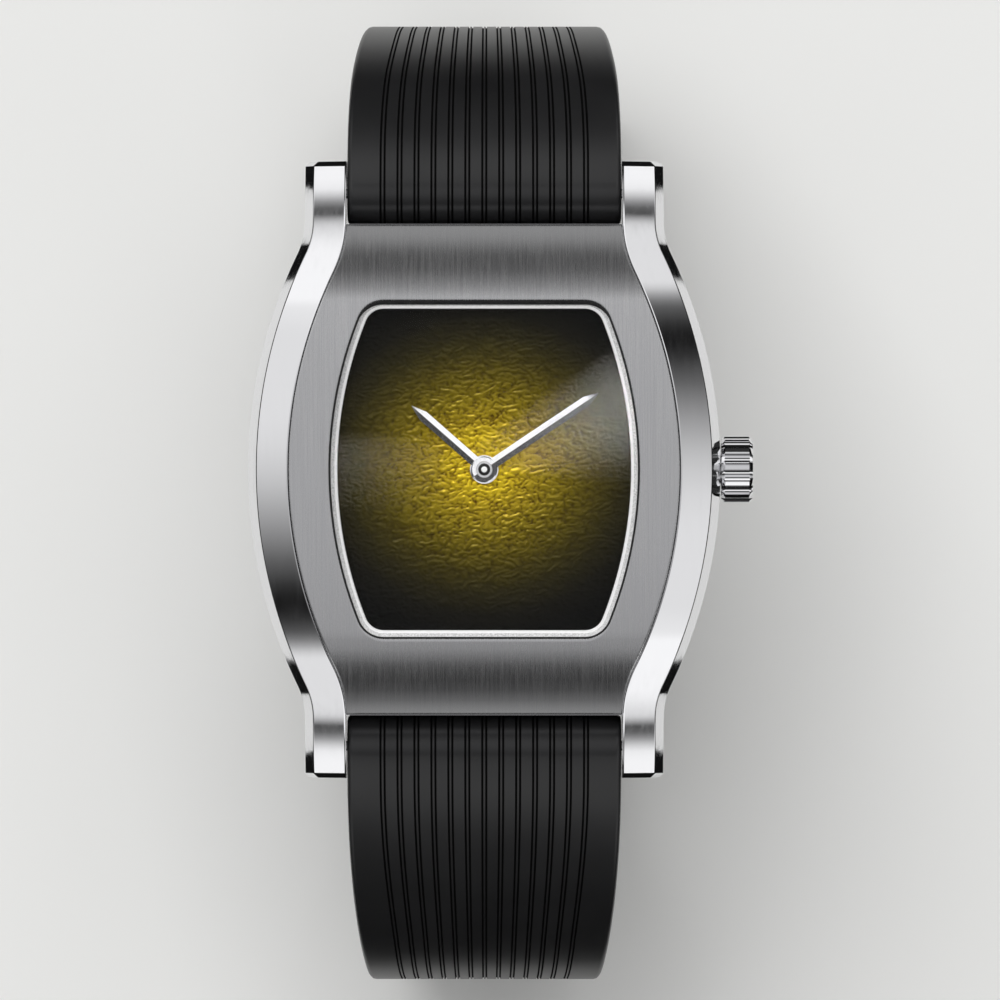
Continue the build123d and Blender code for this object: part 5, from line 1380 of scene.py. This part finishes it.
# Screws, spring bars, crown tube and stem: turned steel, whose fine tool marks leave a satin gleam
turned_steel = mottled("turned_steel", 9000.0, "#B8B8BA", "#CFCFD1", 0.22, uneven=0.2, metallic=1.0)
dress(turned_steel, "caseback_screws", "movement_screws", "crown_tube", "stem")
dress(turned_steel, "spring_bar_tubes", "spring_bar_springs", "buckle_bar", "buckle_bar_spring")
for end in ("left", "right"):
    dress(turned_steel, f"spring_bar_pin_12_{end}", f"spring_bar_pin_6_{end}", f"buckle_bar_pin_{end}")

# Keyless work and battery clip: the same steel, stamped
dress(turned_steel, "setting_lever", "yoke", "clutch_wheel", "battery_clip")

# Seals under the caseback, the crystal and the crown: moulded nitrile rubber, matt black
dress(seal_rubber, "crystal_gasket", "caseback_gasket", "crown_gasket")

# Movement holder: a ring moulded in milky acetal, slightly waxy
acetal = mottled("moulded_acetal", 3000.0, "#DCDCD4", "#E6E6DF", 0.42, uneven=0.2)
dress(acetal, "movement_holder")

# Main plate and train bridge: stamped brass under thin gilding, so a dull yellow
gilt = mottled("gilt_stamped_brass", 7000.0, "#B8964A", "#D2B468", 0.30, uneven=0.2, metallic=1.0)
dress(gilt, "main_plate", "train_bridge")

# Wheels and cannon pinion: brass, cut and polished, brighter than the plates
brass = mottled("cut_polished_brass", 7000.0, "#C2A050", "#DCC07A", 0.20, uneven=0.2, metallic=1.0)
dress(brass, "intermediate_wheel", "centre_wheel", "cannon_pinion")
dress(brass, "minute_wheel", "hour_wheel", "setting_wheel")

# Stator, coil core and rotor: soft iron, annealed to a dull grey
iron = mottled("annealed_soft_iron", 5000.0, "#8C8C8E", "#A8A8AA", 0.38, uneven=0.2, metallic=1.0)
dress(iron, "coil_core", "stator", "rotor")

# Coil: copper wire under clear enamel, reddish and glossy
copper = mottled("enamelled_copper_wire", 8000.0, "#A8572C", "#CC7744", 0.25, uneven=0.2, metallic=1.0)
dress(copper, "coil_winding")

# Circuit board: glass epoxy under green solder resist
resist = mottled("green_solder_resist", 3000.0, "#0C3A20", "#14502E", 0.35, uneven=0.2)
dress(resist, "circuit_board")

# Driver chip: a black drop of moulded epoxy
epoxy = mottled("moulded_epoxy", 6000.0, "#101011", "#1C1C1D", 0.5, uneven=0.2)
dress(epoxy, "driver_chip")

# Battery and quartz can: drawn steel cans, nickel plated, smooth with a warm tinge
nickel = mottled("nickel_plated_cans", 2500.0, "#B9B9B6", "#D4D4D1", 0.18, uneven=0.2, metallic=1.0)
dress(nickel, "battery", "quartz_can")

# The crystal keeps its CAD shape too; the other CAD solids here are hidden behind what replaces them
dress(crystal_glass, "crystal")
dress(polished_steel, "case_middle", "crown")
dress(brushed_steel, "bezel")
dress(flange_silver, "flange")
dress(dial_gilt, "dial")
dress(hand_plate, "minute_hand", "hour_hand")
dress(rubber, "strap_12", "strap_6", "fixed_keeper", "sliding_keeper")
